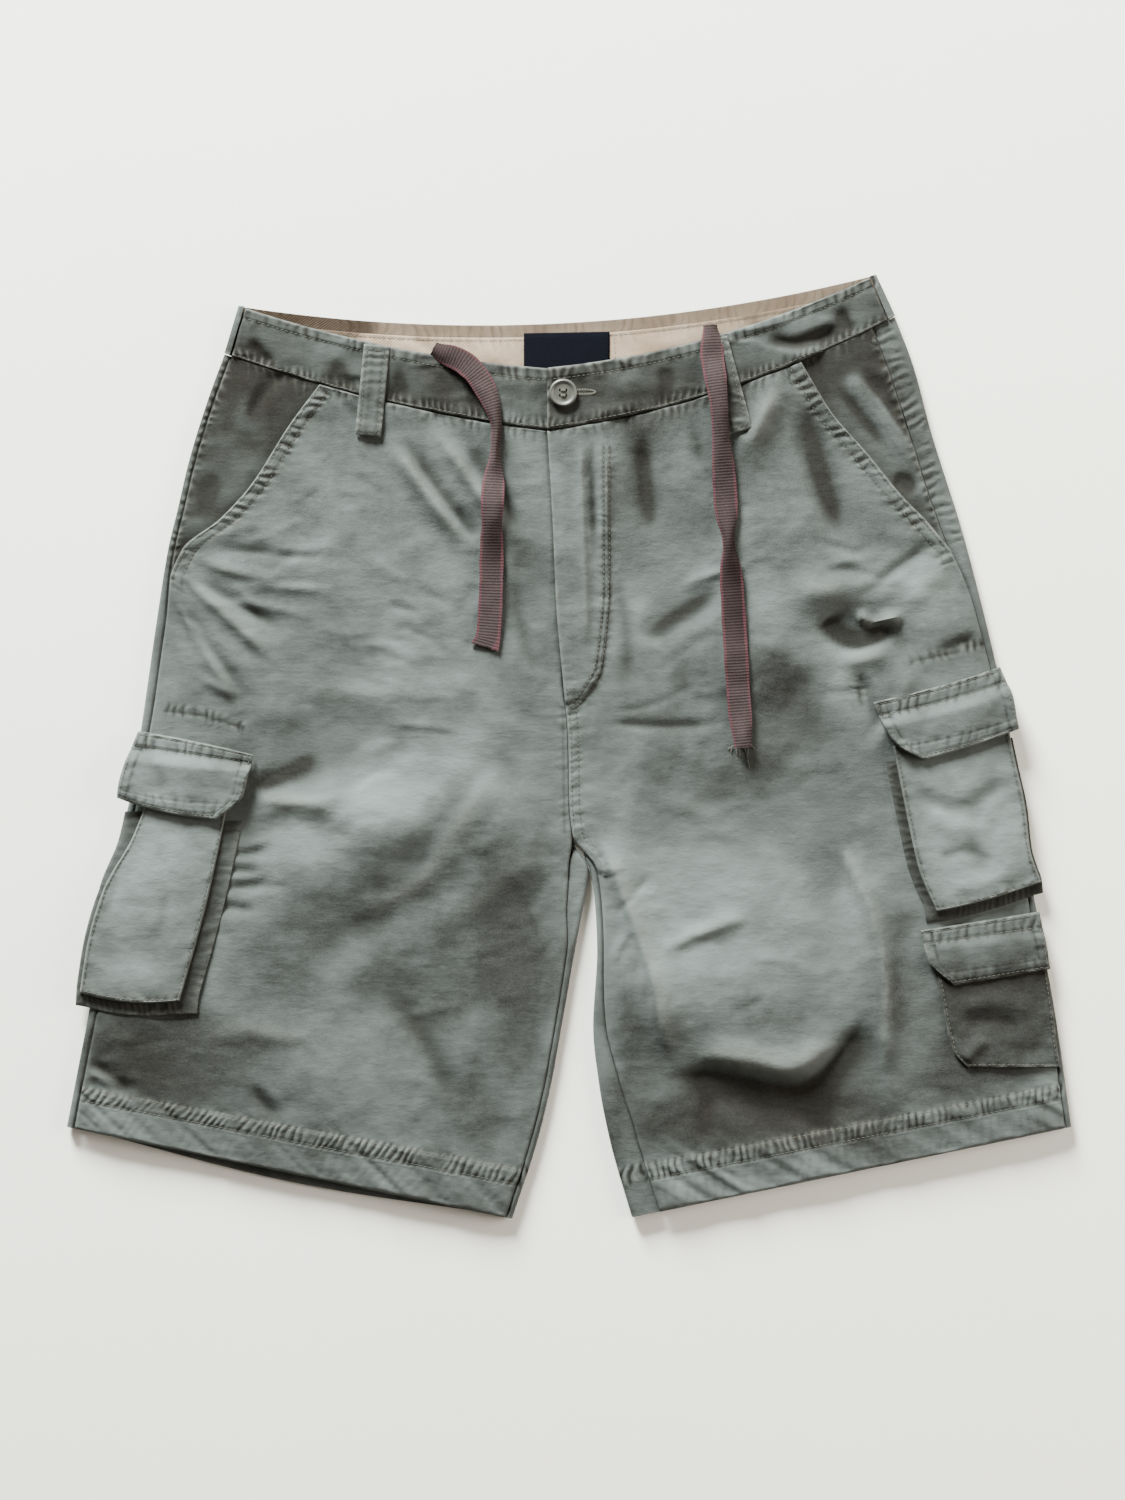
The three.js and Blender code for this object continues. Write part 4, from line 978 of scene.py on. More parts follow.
def drawBack(side, seed):
    rows = places(cloth["length"], 3.4)
    sections = []
    for v in rows:
        length = float(legLength(side, v))
        innerTurn = float(smooth((v - 0.576) / 0.03))
        wrapOut, wrapIn = float(legValue(side, "wrapOut", v)), float(legValue(side, "wrapIn", v))
        s, z = traySection(length, cloth["edgeHeight"], wrapOut, wrapIn, innerTurn, 4.2)
        sections.append((s, z, length))
    s, z, length = fitSections(sections)
    v = rows[:, None] + 0 * s
    x, y = backPoint(side, v, s / length)
    down, fromHem = v * cloth["length"], (1 - v) * cloth["length"]
    under = 1 - smooth((z - 0.5) / 1.5)
    relief = creaseHeight(x, y, backCreases[side]) + 0.35 + 0.35 * softNoise(x, y, 30, seed)
    relief = np.clip(relief, 0, None) * under * smooth(np.minimum(s, length - s) / 16)
    onTop = smooth((z - 4.5) / 1.2)
    wraps = np.where(s < length / 2, legValue(side, "wrapOut", v), legValue(side, "wrapIn", v))
    fromEdge = wraps - np.minimum(s, length - s)
    inset = np.maximum(fromEdge, 0)
    top = 0.35 * ripple(down + fromEdge, 7, seed + 1) * smooth(fromEdge / 2) - 0.9 * bell(inset, 0.9)
    top += 0.3 * softNoise(x, y, 9, seed + 2)
    hemBand = smooth((v - cloth["hemStart"]) / 0.003) * 0.5 - 0.3 * bell(fromHem - cloth["hemRows"][1], 0.9)
    z = z + relief + onTop * (top + hemBand) - under * np.clip(hemBand, -0.3, 0)
    wearAndHighlight = onTop * rubbedEdge(inset, down, seed + 3, 1.2) * 0.3 + rubbedEdge(fromHem, x, seed + 4, 1.2)
    # A little painted shade on the turned-up edges, more next to the seam
    paintedShade = onTop * (0.08 + 0.3 * bell(inset, 2.5))
    sewn = drawnUp((fromEdge + 1, down, 9, 3, onTop * 0.7 * smooth((0.3 - v) / 0.05)),
                   (np.abs(fromHem - hemMiddle) + 1, x, 4.5, 1.6, 1.0))
    name = f"back{side.title()}"
    clothSheet(name, x, y, z, cloth["thickness"], sageFinish, f"back_{side}", wearAndHighlight, paintedShade, sewn,
               facing=-1)


drawBack("right", 300)
drawBack("left", 400)
print("shorts: back panels laid")


# Cloth that shows in a slant mouth
facingCreases = {
    "right": [
        crease(-1.8, 4, 5, (-176, 246), (-196, 228), (-207, 205), end=16),
        crease(1.0, 4, 4, (-190, 240), (-205, 222), (-214, 200), end=16),
        crease(-1.0, 5, 5, (-225, 180), (-232, 160), (-236, 140), end=16),
    ],
    "left": [
        crease(2.0, 5, 4, (176, 238), (192, 222), (211, 196), (225, 177), end=16),
        crease(-1.8, 5, 4, (186, 244), (206, 218), (226, 190), end=18),
        crease(-2.2, 4, 4, (206, 172), (216, 168), (224, 162), end=10),
        crease(-1.0, 3, 3, (170, 232), (188, 210), (206, 186), end=18),
    ],
}
facingShade = {"right": 0.64, "left": 0.42}
facingSize = {"tall": 146, "wide": 60, "pastMouth": 9.5}


def drawFacing(side, seed):
    rows, columns = places(facingSize["tall"], 2.0), places(facingSize["wide"], 1.6)
    v = cloth["mouthEnd"] * (rows[:, None] + 0 * columns[None, :])
    length = legLength(side, v)
    start = legValue(side, "wrapOut", v) + cloth["seamGap"]
    mouth = legValue(side, "mouth", v)
    end = np.maximum(mouth, start) + facingSize["pastMouth"]
    s = mix(start, end, columns[None, :])
    x, y = legPoint(side, v, s / length)
    z = drape(side, x, y) - 0.8 * smooth((s - start) / np.maximum(6, mouth - start))
    fromOuter, down = s - start, v * cloth["length"]
    relief = creaseHeight(x, y, facingCreases[side]) + 0.25 * softNoise(x, y, 14, seed)
    relief += 0.12 * softNoise(x, y, 6, seed + 1)
    relief = np.clip(relief, -1.6, 1.4) * smooth((mouth + 6 - s) / 6) * smooth(down / 4)
    relief += stitchedEdge(fromOuter, down, seed + 2, rows=(), pucker=0.55, size=6, rim=0.9)
    wearAndHighlight = rubbedEdge(fromOuter, down, seed + 3) * 0.8
    # Painted shade under the waistband, toward the mouth and in troughs; painted highlight on the ridges
    paintedShade = facingShade[side] + 0.3 * bell(np.maximum(mouth - s, 0), 6) + 0.8 * bell(down, 26)
    paintedShade += np.clip(-relief / 1.6, 0, 0.9) - 1.2 * np.clip(relief / 1.4, 0, 1)
    sewn = drawnUp((fromOuter, down, 0.5, 3, 0.8), (down, x, 0.5, 6, 0.6))
    clothSheet(f"hipFacing{side.title()}", x, y, z + relief, cloth["thickness"], sageFinish,
               f"hip_facing_{side}", wearAndHighlight, paintedShade, sewn)


drawFacing("right", 500)
drawFacing("left", 520)
print("shorts: hip facings laid")


band = {
    "height": 7.7, "thickness": 2.2, "wrap": 4, "sideEase": 0.8, "waistEase": 0.6,
    "depth": 39, "backDepth": 38, "topRow": 7.7, "seamRow": 1.8,
    "topRight": (-212, 282), "topLeft": (197, 302), "frontTop": (-14, 242),
    "frontBow": {"right": -6.5, "left": -10}, "backBow": -21,
    "overlapLift": 2.7, "overlapEnd": 12, "overlapFade": 50,
}


def bandPoint(side, u, t):
    lowX, lowY = legPoint(side, 0 * u, u)
    topX, topY = band["topRight"] if side == "right" else band["topLeft"]
    highX = mix(topX, band["frontTop"][0], u)
    highY = mix(topY, band["frontTop"][1], u) + band["frontBow"][side] * 4 * u * (1 - u)
    return mix(lowX, highX, t), mix(lowY + cloth["seamGap"], highY, t)


def bandLift(side, x):
    if side == "right":
        return 0 * x
    fade = band["overlapFade"] - band["overlapEnd"]
    return band["overlapLift"] * (1 - smooth((x - band["overlapEnd"] - 4) / fade))


bandCreases = {
    "right": [
        crease(-1.2, 3, 3, (-205, 262), (-196, 248), (-188, 243), end=8),
        crease(-0.9, 4, 4, (-150, 250), (-146, 232), (-143, 222), end=10),
        crease(0.9, 5, 4, (-92, 240), (-86, 222), (-84, 208), end=10),
        crease(-0.8, 4, 3, (-60, 236), (-62, 220), (-58, 205), end=10),
        crease(-0.7, 4, 4, (-110, 246), (-108, 230), (-111, 214), end=10),
    ],
    "left": [
        crease(-2.0, 3, 5, (128, 264), (140, 256), (160, 262), (176, 270), end=12),
        crease(1.2, 5, 3, (128, 258), (146, 249), (168, 255), end=12),
        crease(-1.4, 3, 4, (172, 284), (178, 268), (186, 262), end=10),
        crease(-0.9, 4, 4, (60, 246), (63, 230), (60, 214), end=10),
        crease(0.8, 5, 4, (40, 242), (38, 224), (42, 210), end=10),
        crease(-1.0, 3, 4, (140, 242), (150, 236), (166, 240), end=10),
    ],
}


def drawFrontBand(side, seed):
    rows = places(band["depth"], 1.3, first=4, last=10)[::-1]
    columns = places(cloth["width"], 1.5)
    length = float(legLength(side, 0))
    start = (band["wrap"] + cloth["seamGap"] + band["sideEase"]) / length
    underlap = (band["overlapEnd"] - band["frontTop"][0]) / length if side == "right" else 0
    u = mix(start, 1 + underlap, columns)[None, :] + 0 * rows[:, None]
    t = rows[:, None] + 0 * columns[None, :]
    x, y = bandPoint(side, u, t)
    if side == "right":
        farX, farY = bandPoint("left", 2 - u, t)
        x, y = np.where(u > 1, farX, x), np.where(u > 1, farY, y)
    z = band["height"] + bandLift(side, x)
    fromTop, fromSeam = (1 - t) * band["depth"], t * band["depth"]
    fromEnd = (u.max() - u) * length
    fromSide = (u - start) * length
    placed = creaseHeight(x, y, bandCreases[side])
    relief = 1.7 * placed + 0.7 * softNoise(0.6 * x, 1.5 * y, 14, seed)
    relief += 0.55 * crumple(0.6 * x, 1.4 * y, 11, seed + 20)
    relief += 0.14 * softNoise(x, y, 6, seed + 1)
    relief += stitchedEdge(fromTop, x, seed + 2, rows=(band["topRow"],), pucker=0.45, size=8, rim=1.4)
    relief += stitchedEdge(fromSeam, x, seed + 3, rows=(band["seamRow"],), pucker=0.5, size=7, rim=1.3)
    relief += stitchedEdge(fromSide, y, seed + 4, rows=(), pucker=0.3, rim=0.8)
    if side == "left":
        relief += stitchedEdge(fromEnd, y, seed + 5, rows=(band["seamRow"],), pucker=0.3, rim=1.5)
    wearAndHighlight = rubbedEdge(fromTop, x, seed + 6, 1.7) + rubbedEdge(fromSeam, x, seed + 7, 1.3) * 0.9
    wearAndHighlight += 0.4 * rubbedEdge(fromSide, y, seed + 8)
    if side == "left":
        wearAndHighlight += rubbedEdge(fromEnd, y, seed + 9, 1.4)
    # The band is darkened all over, unevenly, with painted shade in its creases and along its stitch rows
    paintedShade = 0.56 + 0.45 * softNoise(x, y, 22, seed + 10)
    paintedShade += np.clip(-placed / 1.6, 0, 1) * 0.8 + np.clip(-relief / 2.6, 0, 1) * 0.5
    paintedShade += 0.8 * stitchShade(fromTop, x, (band["topRow"],), seed + 11)
    paintedShade += 0.7 * stitchShade(fromSeam, x, (band["seamRow"],), seed + 12)
    sewn = drawnUp((fromTop, x, 8, 2.5, 0.65), (fromSeam, 1.3 * x, 2.5, 4, 0.8))
    clothSheet(f"waistbandFront{side.title()}", x, y, z + relief, band["thickness"], sageFinish,
               f"waistband_front_{side}", wearAndHighlight, paintedShade, sewn)


drawFrontBand("right", 540)
drawFrontBand("left", 560)
print("shorts: front waistband laid")


def backBandPoint(w, t):
    u = np.where(w < 0.5, 2 * w, 2 * (1 - w))
    rightX, rightY = backPoint("right", 0 * u, u)
    leftX, leftY = backPoint("left", 0 * u, u)
    lowX = np.where(w < 0.5, rightX, leftX)
    lowY = np.where(w < 0.5, rightY, leftY) + cloth["seamGap"] + band["waistEase"]
    highX = mix(band["topRight"][0], band["topLeft"][0], w)
    highY = mix(band["topRight"][1], band["topLeft"][1], w) + band["backBow"] * 4 * w * (1 - w)
    return mix(lowX, highX, t), mix(lowY, highY, t)


def drawBackBand(seed):
    rows = places(band["backDepth"], 1.9)[::-1]
    sections = []
    for t in rows:
        ends = [np.array(backBandPoint(np.array(w), np.array(t))) for w in (0.0, 1.0)]
        length = float(np.linalg.norm(ends[1] - ends[0]))
        s, z = traySection(length, band["height"], band["wrap"], band["wrap"], 1, 2.4)
        sections.append((s, z, length))
    s, z, length = fitSections(sections)
    t = rows[:, None] + 0 * s
    x, y = backBandPoint(s / length, t)
    under = 1 - smooth((z - 0.5) / 1.5)
    onTop = smooth((z - 5.5) / 1.5)
    relief = under * (0.25 + 0.2 * softNoise(x, y, 18, seed)) * smooth(np.minimum(s, length - s) / 10)
    relief += onTop * 0.3 * softNoise(x, y, 8, seed + 1)
    fromTop, fromSeam = (1 - t) * band["backDepth"], t * band["backDepth"]
    groove = bell(fromTop - band["topRow"], 0.9) + bell(fromSeam - band["seamRow"], 0.9)
    z = z + relief + 0.3 * groove * under - 0.3 * groove * onTop
    wearAndHighlight = rubbedEdge(fromTop, x, seed + 2, 1.5) + 0.6 * rubbedEdge(fromSeam, x, seed + 3, 1.2)
    sewn = drawnUp((fromTop, x, 8, 3, 1.0), (fromSeam, x, 2, 3, under))
    # Painted shade on the inner strip toward the right-leg end
    paintedShade = under * smooth((-118 - x) / 12) * 0.9
    clothSheet("waistbandBack", x, y, z, band["thickness"], sageFinish, "waistband_back", wearAndHighlight, paintedShade,
               sewn, facing=-1, inside=stripFinish)


drawBackBand(580)
print("shorts: back waistband laid")


lining = {"inset": 8, "depth": 28, "from": 0.07, "to": 0.93, "wide": 350, "height": 3.7, "thickness": 0.9, "row": 2.2}
liningCreases = [
    crease(0.8, 4, 3, (-110, 262), (-100, 254), (-88, 249)),
    crease(-0.9, 3, 3, (-104, 264), (-92, 256), (-78, 252)), crease(0.8, 3, 4, (46, 262), (60, 256), (78, 262)),
    crease(-0.8, 3, 3, (112, 280), (118, 270), (132, 266)), crease(0.7, 3, 3, (-60, 256), (-52, 250), (-36, 247)),
]


def drawWaistFacing(seed):
    rows, columns = places(lining["depth"], 1.8), places(lining["wide"], 2.2)
    w = mix(lining["from"], lining["to"], columns)[None, :] + 0 * rows[:, None]
    x, y = backBandPoint(w, 1 + 0 * w)
    down = lining["depth"] * rows[:, None] + 0 * w
    y = y - lining["inset"] - down
    relief = 0.35 * softNoise(x, y, 22, seed) + 0.15 * softNoise(x, y, 8, seed + 1)
    relief -= 0.35 * bell(down - lining["row"], 0.8)
    relief += stitchedEdge(down, x, seed + 2, rows=(), pucker=0.2, rim=0.6)
    relief += creaseHeight(x, y, liningCreases)
    # Painted shadow under the top edge and at both ends, and painted shade in the creases
    paintedShade = 0.35 * bell(down, 1.5) + 0.9 * smooth((-128 - x) / 14) + np.clip(-relief / 2.5, 0, 0.5)
    paintedShade += 0.4 * smooth((x - 40) / 80)
    clothSheet("waistFacing", x, y, lining["height"] + relief, lining["thickness"], twillFinish,
               "waist_facing", None, paintedShade, drawnUp((down, x, 3, 4, 0.8)))


drawWaistFacing(600)

tag = {"left": -29, "right": 26, "top": 265.5, "bottom": 238, "height": 5, "tilt": 0.018, "thickness": 0.8}


def drawLabel():
    tall = tag["top"] - tag["bottom"]
    rows, columns = places(tall, 1.2), places(tag["right"] - tag["left"], 1.3)
    x = mix(tag["left"], tag["right"], columns)[None, :] + 0 * rows[:, None]
    y = mix(tag["top"], tag["bottom"], rows)[:, None] - tag["tilt"] * (tag["right"] - x)
    edge = np.minimum(np.minimum(x - tag["left"], tag["right"] - x), np.minimum(rows, 1 - rows)[:, None] * tall)
    z = tag["height"] + 0.35 * smooth(edge / 3) + 0.2 * softNoise(x, y, 14, 610) - 0.3 * (1 - smooth(edge / 1.2))
    clothSheet("waistLabel", x, y, z, tag["thickness"], labelFinish, "waist_label")


drawLabel()
print("shorts: twill facing and label laid")


# Height of the finished cloth under a point, found by a ray from above
trees = {}


def below(names, x, y, fallback=8.0):
    best = -1.0
    for name in names:
        if name not in trees:
            mesh = shells[name].data
            corners = [tuple(v.co) for v in mesh.vertices]
            trees[name] = BVHTree.FromPolygons(corners, [tuple(p.vertices) for p in mesh.polygons])
        hit = trees[name].ray_cast(Vector((x * mm, y * mm, 0.06)), Vector((0, 0, -1)))[0]
        if hit is not None and hit.z / mm > best:
            best = hit.z / mm
    return best if best > 0 else fallback


outsideNames = [f"{piece}{side}" for piece in ("front", "hipFacing", "waistbandFront", "back")
                for side in ("Right", "Left")]


# Drawstrings: flat tape that comes over the top of the waistband and lies on the front
tapes = {
    "right": {
        "line": [(-87, 254, 6), (-84, 252.5, 8.2), (-80.5, 251, 10), (-75, 249, 10.4), (-68.5, 246, 10.1),
                 (-60.5, 239, 10.1), (-54, 229, 10.1), (-48.5, 215, 10.2), (-46.2, 203, 10.1), (-46.9, 192, 10.4),
                 (-47.4, 183, 10), (-48.6, 164, 9.9), (-49.3, 144, 9.8), (-49.6, 119, 9.8), (-50.2, 93, 9.6),
                 (-51.8, 70, 9.4), (-53.5, 63.5, 9.2)],
        "pinches": [(0.0, 0.05, 0.35), (0.34, 0.1, 0.5), (0.42, 0.06, 0.3), (0.62, 0.05, 0.15), (1.0, 0.03, -0.16)],
        "shaded": [(0.0, 0.08, 0.9), (0.34, 0.06, 0.5), (0.71, 0.06, 0.9)],
        "lean": [(0.0, 0.4), (0.12, -0.5), (0.3, -0.2), (0.5, 0.35), (0.8, 0.15), (1.0, 0.3)],
    },
    "left": {
        "line": [(90.4, 269.5, 5), (90.6, 265.5, 7.4), (91, 260, 10.2), (91.4, 250, 10.6), (93.6, 234, 13.6),
                 (96, 215, 13.8), (96.8, 200, 12.6), (98, 186, 11.4), (99.2, 170, 10), (100.5, 151, 9.6),
                 (102.4, 125, 9.8), (104.6, 93.4, 10), (106.6, 61.4, 9.8), (108.6, 29.4, 9.6), (111.4, -0.5, 9.4)],
        "pinches": [(0.0, 0.04, 0.4), (0.235, 0.085, 0.3), (0.52, 0.05, 0.5), (0.985, 0.03, 0.25)],
        "shaded": [(0.0, 0.03, 0.7), (0.24, 0.06, 0.45), (0.45, 0.12, 0.4), (0.56, 0.06, 0.9), (0.68, 0.1, 0.9)],
        "lean": [(0.0, 0.3), (0.1, 0.1), (0.22, 0.75), (0.34, 0.2), (0.5, 0.6), (0.62, 0.25), (0.85, -0.2), (1.0, 0.1)],
    },
}
tapeWidth = 15.2


# A line through points in space, evenly divided along its length
def evenLine(points, step):
    rough = np.array(points, float)
    knots = np.concatenate([[0], np.linalg.norm(np.diff(rough, axis=0), axis=1).cumsum()])
    fine = np.linspace(0, knots[-1], 400)
    curve = np.stack([readColumn(knots, rough[:, k], fine) for k in range(3)], axis=1)
    run = np.concatenate([[0], np.linalg.norm(np.diff(curve, axis=0), axis=1).cumsum()])
    at = np.linspace(0, run[-1], int(run[-1] / step) + 1)
    return np.stack([np.interp(at, run, curve[:, k]) for k in range(3)], axis=1), run[-1]


# The tape narrows where it is pinched into an arch, leans where it turns, and waves a little along its edges
def drawTape(side, seed):
    facts = tapes[side]
    path, length = evenLine(facts["line"], 1.1)
    share = np.linspace(0, 1, len(path))
    ahead = np.gradient(path, axis=0)
    ahead /= np.linalg.norm(ahead, axis=1)[:, None]
    acrossX, acrossY = -ahead[:, 1], ahead[:, 0]
    acrossSize = np.hypot(acrossX, acrossY)
    acrossX, acrossY = acrossX / acrossSize, acrossY / acrossSize
    pinch = sum(size * bell(share - at, reach) for at, reach, size in facts["pinches"])
    pinch = np.clip(pinch, -0.2, 0.72)[:, None]
    lean = np.interp(share, [p[0] for p in facts["lean"]], [p[1] for p in facts["lean"]])[:, None]
    d = np.linspace(-1, 1, 15)[None, :]
    half = 0.5 * tapeWidth * (1 - pinch)
    rough = 0.25 * softNoise(share[:, None] * length + 0 * d, d * 9, 7, seed)
    rise = np.sqrt(np.clip(1 - (1 - pinch) ** 2, 0, 1)) * 0.5 * tapeWidth * 0.62
    under = np.array([[below(outsideNames, px + ax * k, py + ay * k, 0) for k in (-6.5, 0, 6.5)]
                      for px, py, ax, ay in zip(path[:, 0], path[:, 1], acrossX, acrossY)]).max(axis=1)
    onCloth = smooth((share - 0.06) / 0.04) * (under + 1.9)
    level = np.maximum(path[:, 2], onCloth)
    level = np.convolve(np.pad(level, 6, mode="edge"), np.ones(13) / 13, mode="valid")[:, None]
    z = level + 0.4 + rise * (1 - d * d) * 0.9 + lean * d * 1.0 + rough
    offset = half * d + 0.3 * np.abs(d) ** 4 * np.sign(d) * softNoise(share[:, None] * length, 0 * d, 5, seed + 1)
    x = path[:, 0:1] + acrossX[:, None] * offset
    y = path[:, 1:2] + acrossY[:, None] * offset
    last = smooth((share - 0.985) / 0.015)[:, None]
    x = x + last * 0.7 * softNoise(d * 9 + 0 * share[:, None], 0 * d + 3, 2, seed + 2)
    y = y - last * 1.6 * np.abs(softNoise(d * 9 + 0 * share[:, None], 0 * d + 7, 2.2, seed + 3))
    shaded = sum(amount * bell(share - at, reach) for at, reach, amount in facts["shaded"])
    tape = clothSheet(f"drawstring{side.title()}", x, y, z, 1.3, tapeFinish, f"drawstring_{side}",
                      paintedShade=shaded[:, None] * (0.75 + 0.25 * d), evenRows=True)
    middle = np.stack([path[:, 0], path[:, 1], level[:, 0] + rise[:, 0] * 0.5], axis=1)
    points = [tuple(float(c) * mm for c in p) for p in middle[::4]] + [tuple(float(c) * mm for c in middle[-1])]
    facts.update(object=tape, points=points, length=sum(math.dist(a, b) for a, b in zip(points, points[1:])))


drawTape("right", 11)
drawTape("left", 23)
print("shorts: drawstrings laid")


# Pocket pieces, each a stack of sections between two side edges: share down, left x and y, right x and y, sag
pockets = {
    "cargoRightFace": {
        "side": "right", "lift": 5, "node": "cargo_right_face", "wide": 66, "tall": 132,
        "rows": [(0, -268, -30, -218, -36, 0), (0.25, -280, -60, -224, -66, -1), (0.5, -298, -92, -231, -98, -2),
                 (0.75, -308, -126, -240, -132, -2), (1, -313, -158, -249, -163, -3.5)],
        "creases": [crease(1.3, 12, 10, (-300, -104), (-266, -86), (-234, -70), end=18),
                    crease(-1.2, 9, 9, (-306, -138), (-280, -126), (-250, -130), end=16),
                    crease(-0.8, 3, 3, (-264, -58), (-256, -90), (-262, -128), end=16),
                    crease(1.0, 7, 7, (-304, -151), (-277, -149), (-254, -155), end=12),
                    crease(-0.8, 3, 4, (-286, -70), (-290, -94), (-300, -112), end=12)],
    },
    "cargoRightFlap": {
        "side": "right", "lift": 6.9, "node": "cargo_right_flap", "wide": 76, "tall": 46, "flap": True,
        "rows": [(0, -276, 9.6, -202, -5.8, 1), (0.5, -285, -14, -205, -20, -1), (0.76, -288, -25, -208, -32, -3),
                 (1, -289, -33, -225, -47, -3)],
        "creases": [crease(-1.1, 4, 5, (-276, -2), (-262, -16), (-258, -34), end=10),
                    crease(1.1, 6, 5, (-246, 0), (-240, -20), (-243, -38), end=10),
                    crease(-0.9, 4, 4, (-222, -4), (-224, -22), (-219, -38), end=10)],
    },
    "cargoLeftFace": {
        "side": "left", "lift": 5, "node": "cargo_left_face", "wide": 72, "tall": 106,
        "rows": [(0, 207, 0, 280, 17, 0), (0.25, 212, -25, 286, -12, 0), (0.5, 217, -50, 292, -40, -1),
                 (0.75, 224, -80, 295, -66, -1), (1, 235, -106, 302, -87, -1.5)],
        "creases": [crease(-1.4, 5, 4, (220, -26), (243, -42), (262, -36), (280, -20), end=12),
                    crease(1.3, 6, 5, (226, -42), (250, -56), (272, -50), end=12),
                    crease(-1.2, 4, 5, (264, -32), (256, -60), (268, -88), end=14),
                    crease(1.0, 8, 6, (284, -46), (276, -70), (290, -88), end=12),
                    crease(-0.9, 3, 3, (234, -72), (256, -66), (274, -76), end=10),
                    crease(0.8, 4, 4, (240, -92), (262, -89), (284, -80), end=10)],
    },
    "cargoLeftFlap": {
        "side": "left", "lift": 6.9, "node": "cargo_left_flap", "wide": 84, "tall": 39, "flap": True,
        "rows": [(0, 194.6, 28, 276, 50.6, -1), (0.5, 203, 9, 284, 30, -2), (0.8, 210, -0.5, 286, 18, -2),
                 (1, 226, -9, 287.5, 11, -1.5)],
        "creases": [crease(-0.9, 4, 4, (222, 30), (226, 12), (224, 0), end=8),
                    crease(0.9, 5, 4, (250, 36), (254, 18), (252, 4), end=8),
                    crease(-0.8, 4, 4, (272, 42), (274, 26), (270, 12), end=8)],
    },
    "patchLeftFace": {
        "side": "left", "lift": 2, "node": "patch_left_face", "shade": 0.9, "wide": 70, "tall": 72,
        "rows": [(0, 234, -138, 304, -130, 0), (0.4, 239, -166, 309, -160, 0), (0.85, 246, -196, 313, -195, 0),
                 (1, 255, -206, 315, -206, 0)],
        "creases": [crease(1.8, 4, 3, (251, -203), (258, -196), (268, -186), end=6),
                    crease(-1.3, 4, 5, (248, -180), (268, -174), (292, -182), end=12),
                    crease(1.2, 5, 4, (246, -168), (272, -163), (300, -170), end=12),
                    crease(-0.9, 4, 4, (276, -190), (290, -196), (306, -192), end=8)],
    },
    "patchLeftFlap": {
        "side": "left", "lift": 2.5, "node": "patch_left_flap", "shade": 0.2, "wide": 76, "tall": 36, "flap": True,
        "rows": [(0, 225, -118, 301, -106, 0), (0.6, 230, -139, 306, -130, 0), (1, 246, -153.5, 308, -142.7, 0)],
        "creases": [crease(-0.8, 4, 4, (244, -122), (250, -136), (252, -148), end=8),
                    crease(0.8, 4, 4, (272, -118), (276, -134), (280, -144), end=8)],
    },
}
pocketLayer = 1.4


def patchPoint(table, a, b):
    columns = list(zip(*table))
    leftX, leftY, rightX, rightY, bow = (readColumn(columns[0], column, b) for column in columns[1:])
    return mix(leftX, rightX, a), mix(leftY, rightY, a) + bow * 4 * a * (1 - a)


def faceHeight(side, lift, x, y, b):
    return drape(side, x, y) + mix(0.75 * lift, lift, smooth(b / 0.3))


def flapHeight(side, lift, x, y, b):
    return drape(side, x, y) + cloth["restGap"] + pocketLayer + smooth((b - 0.2) / 0.22) * lift


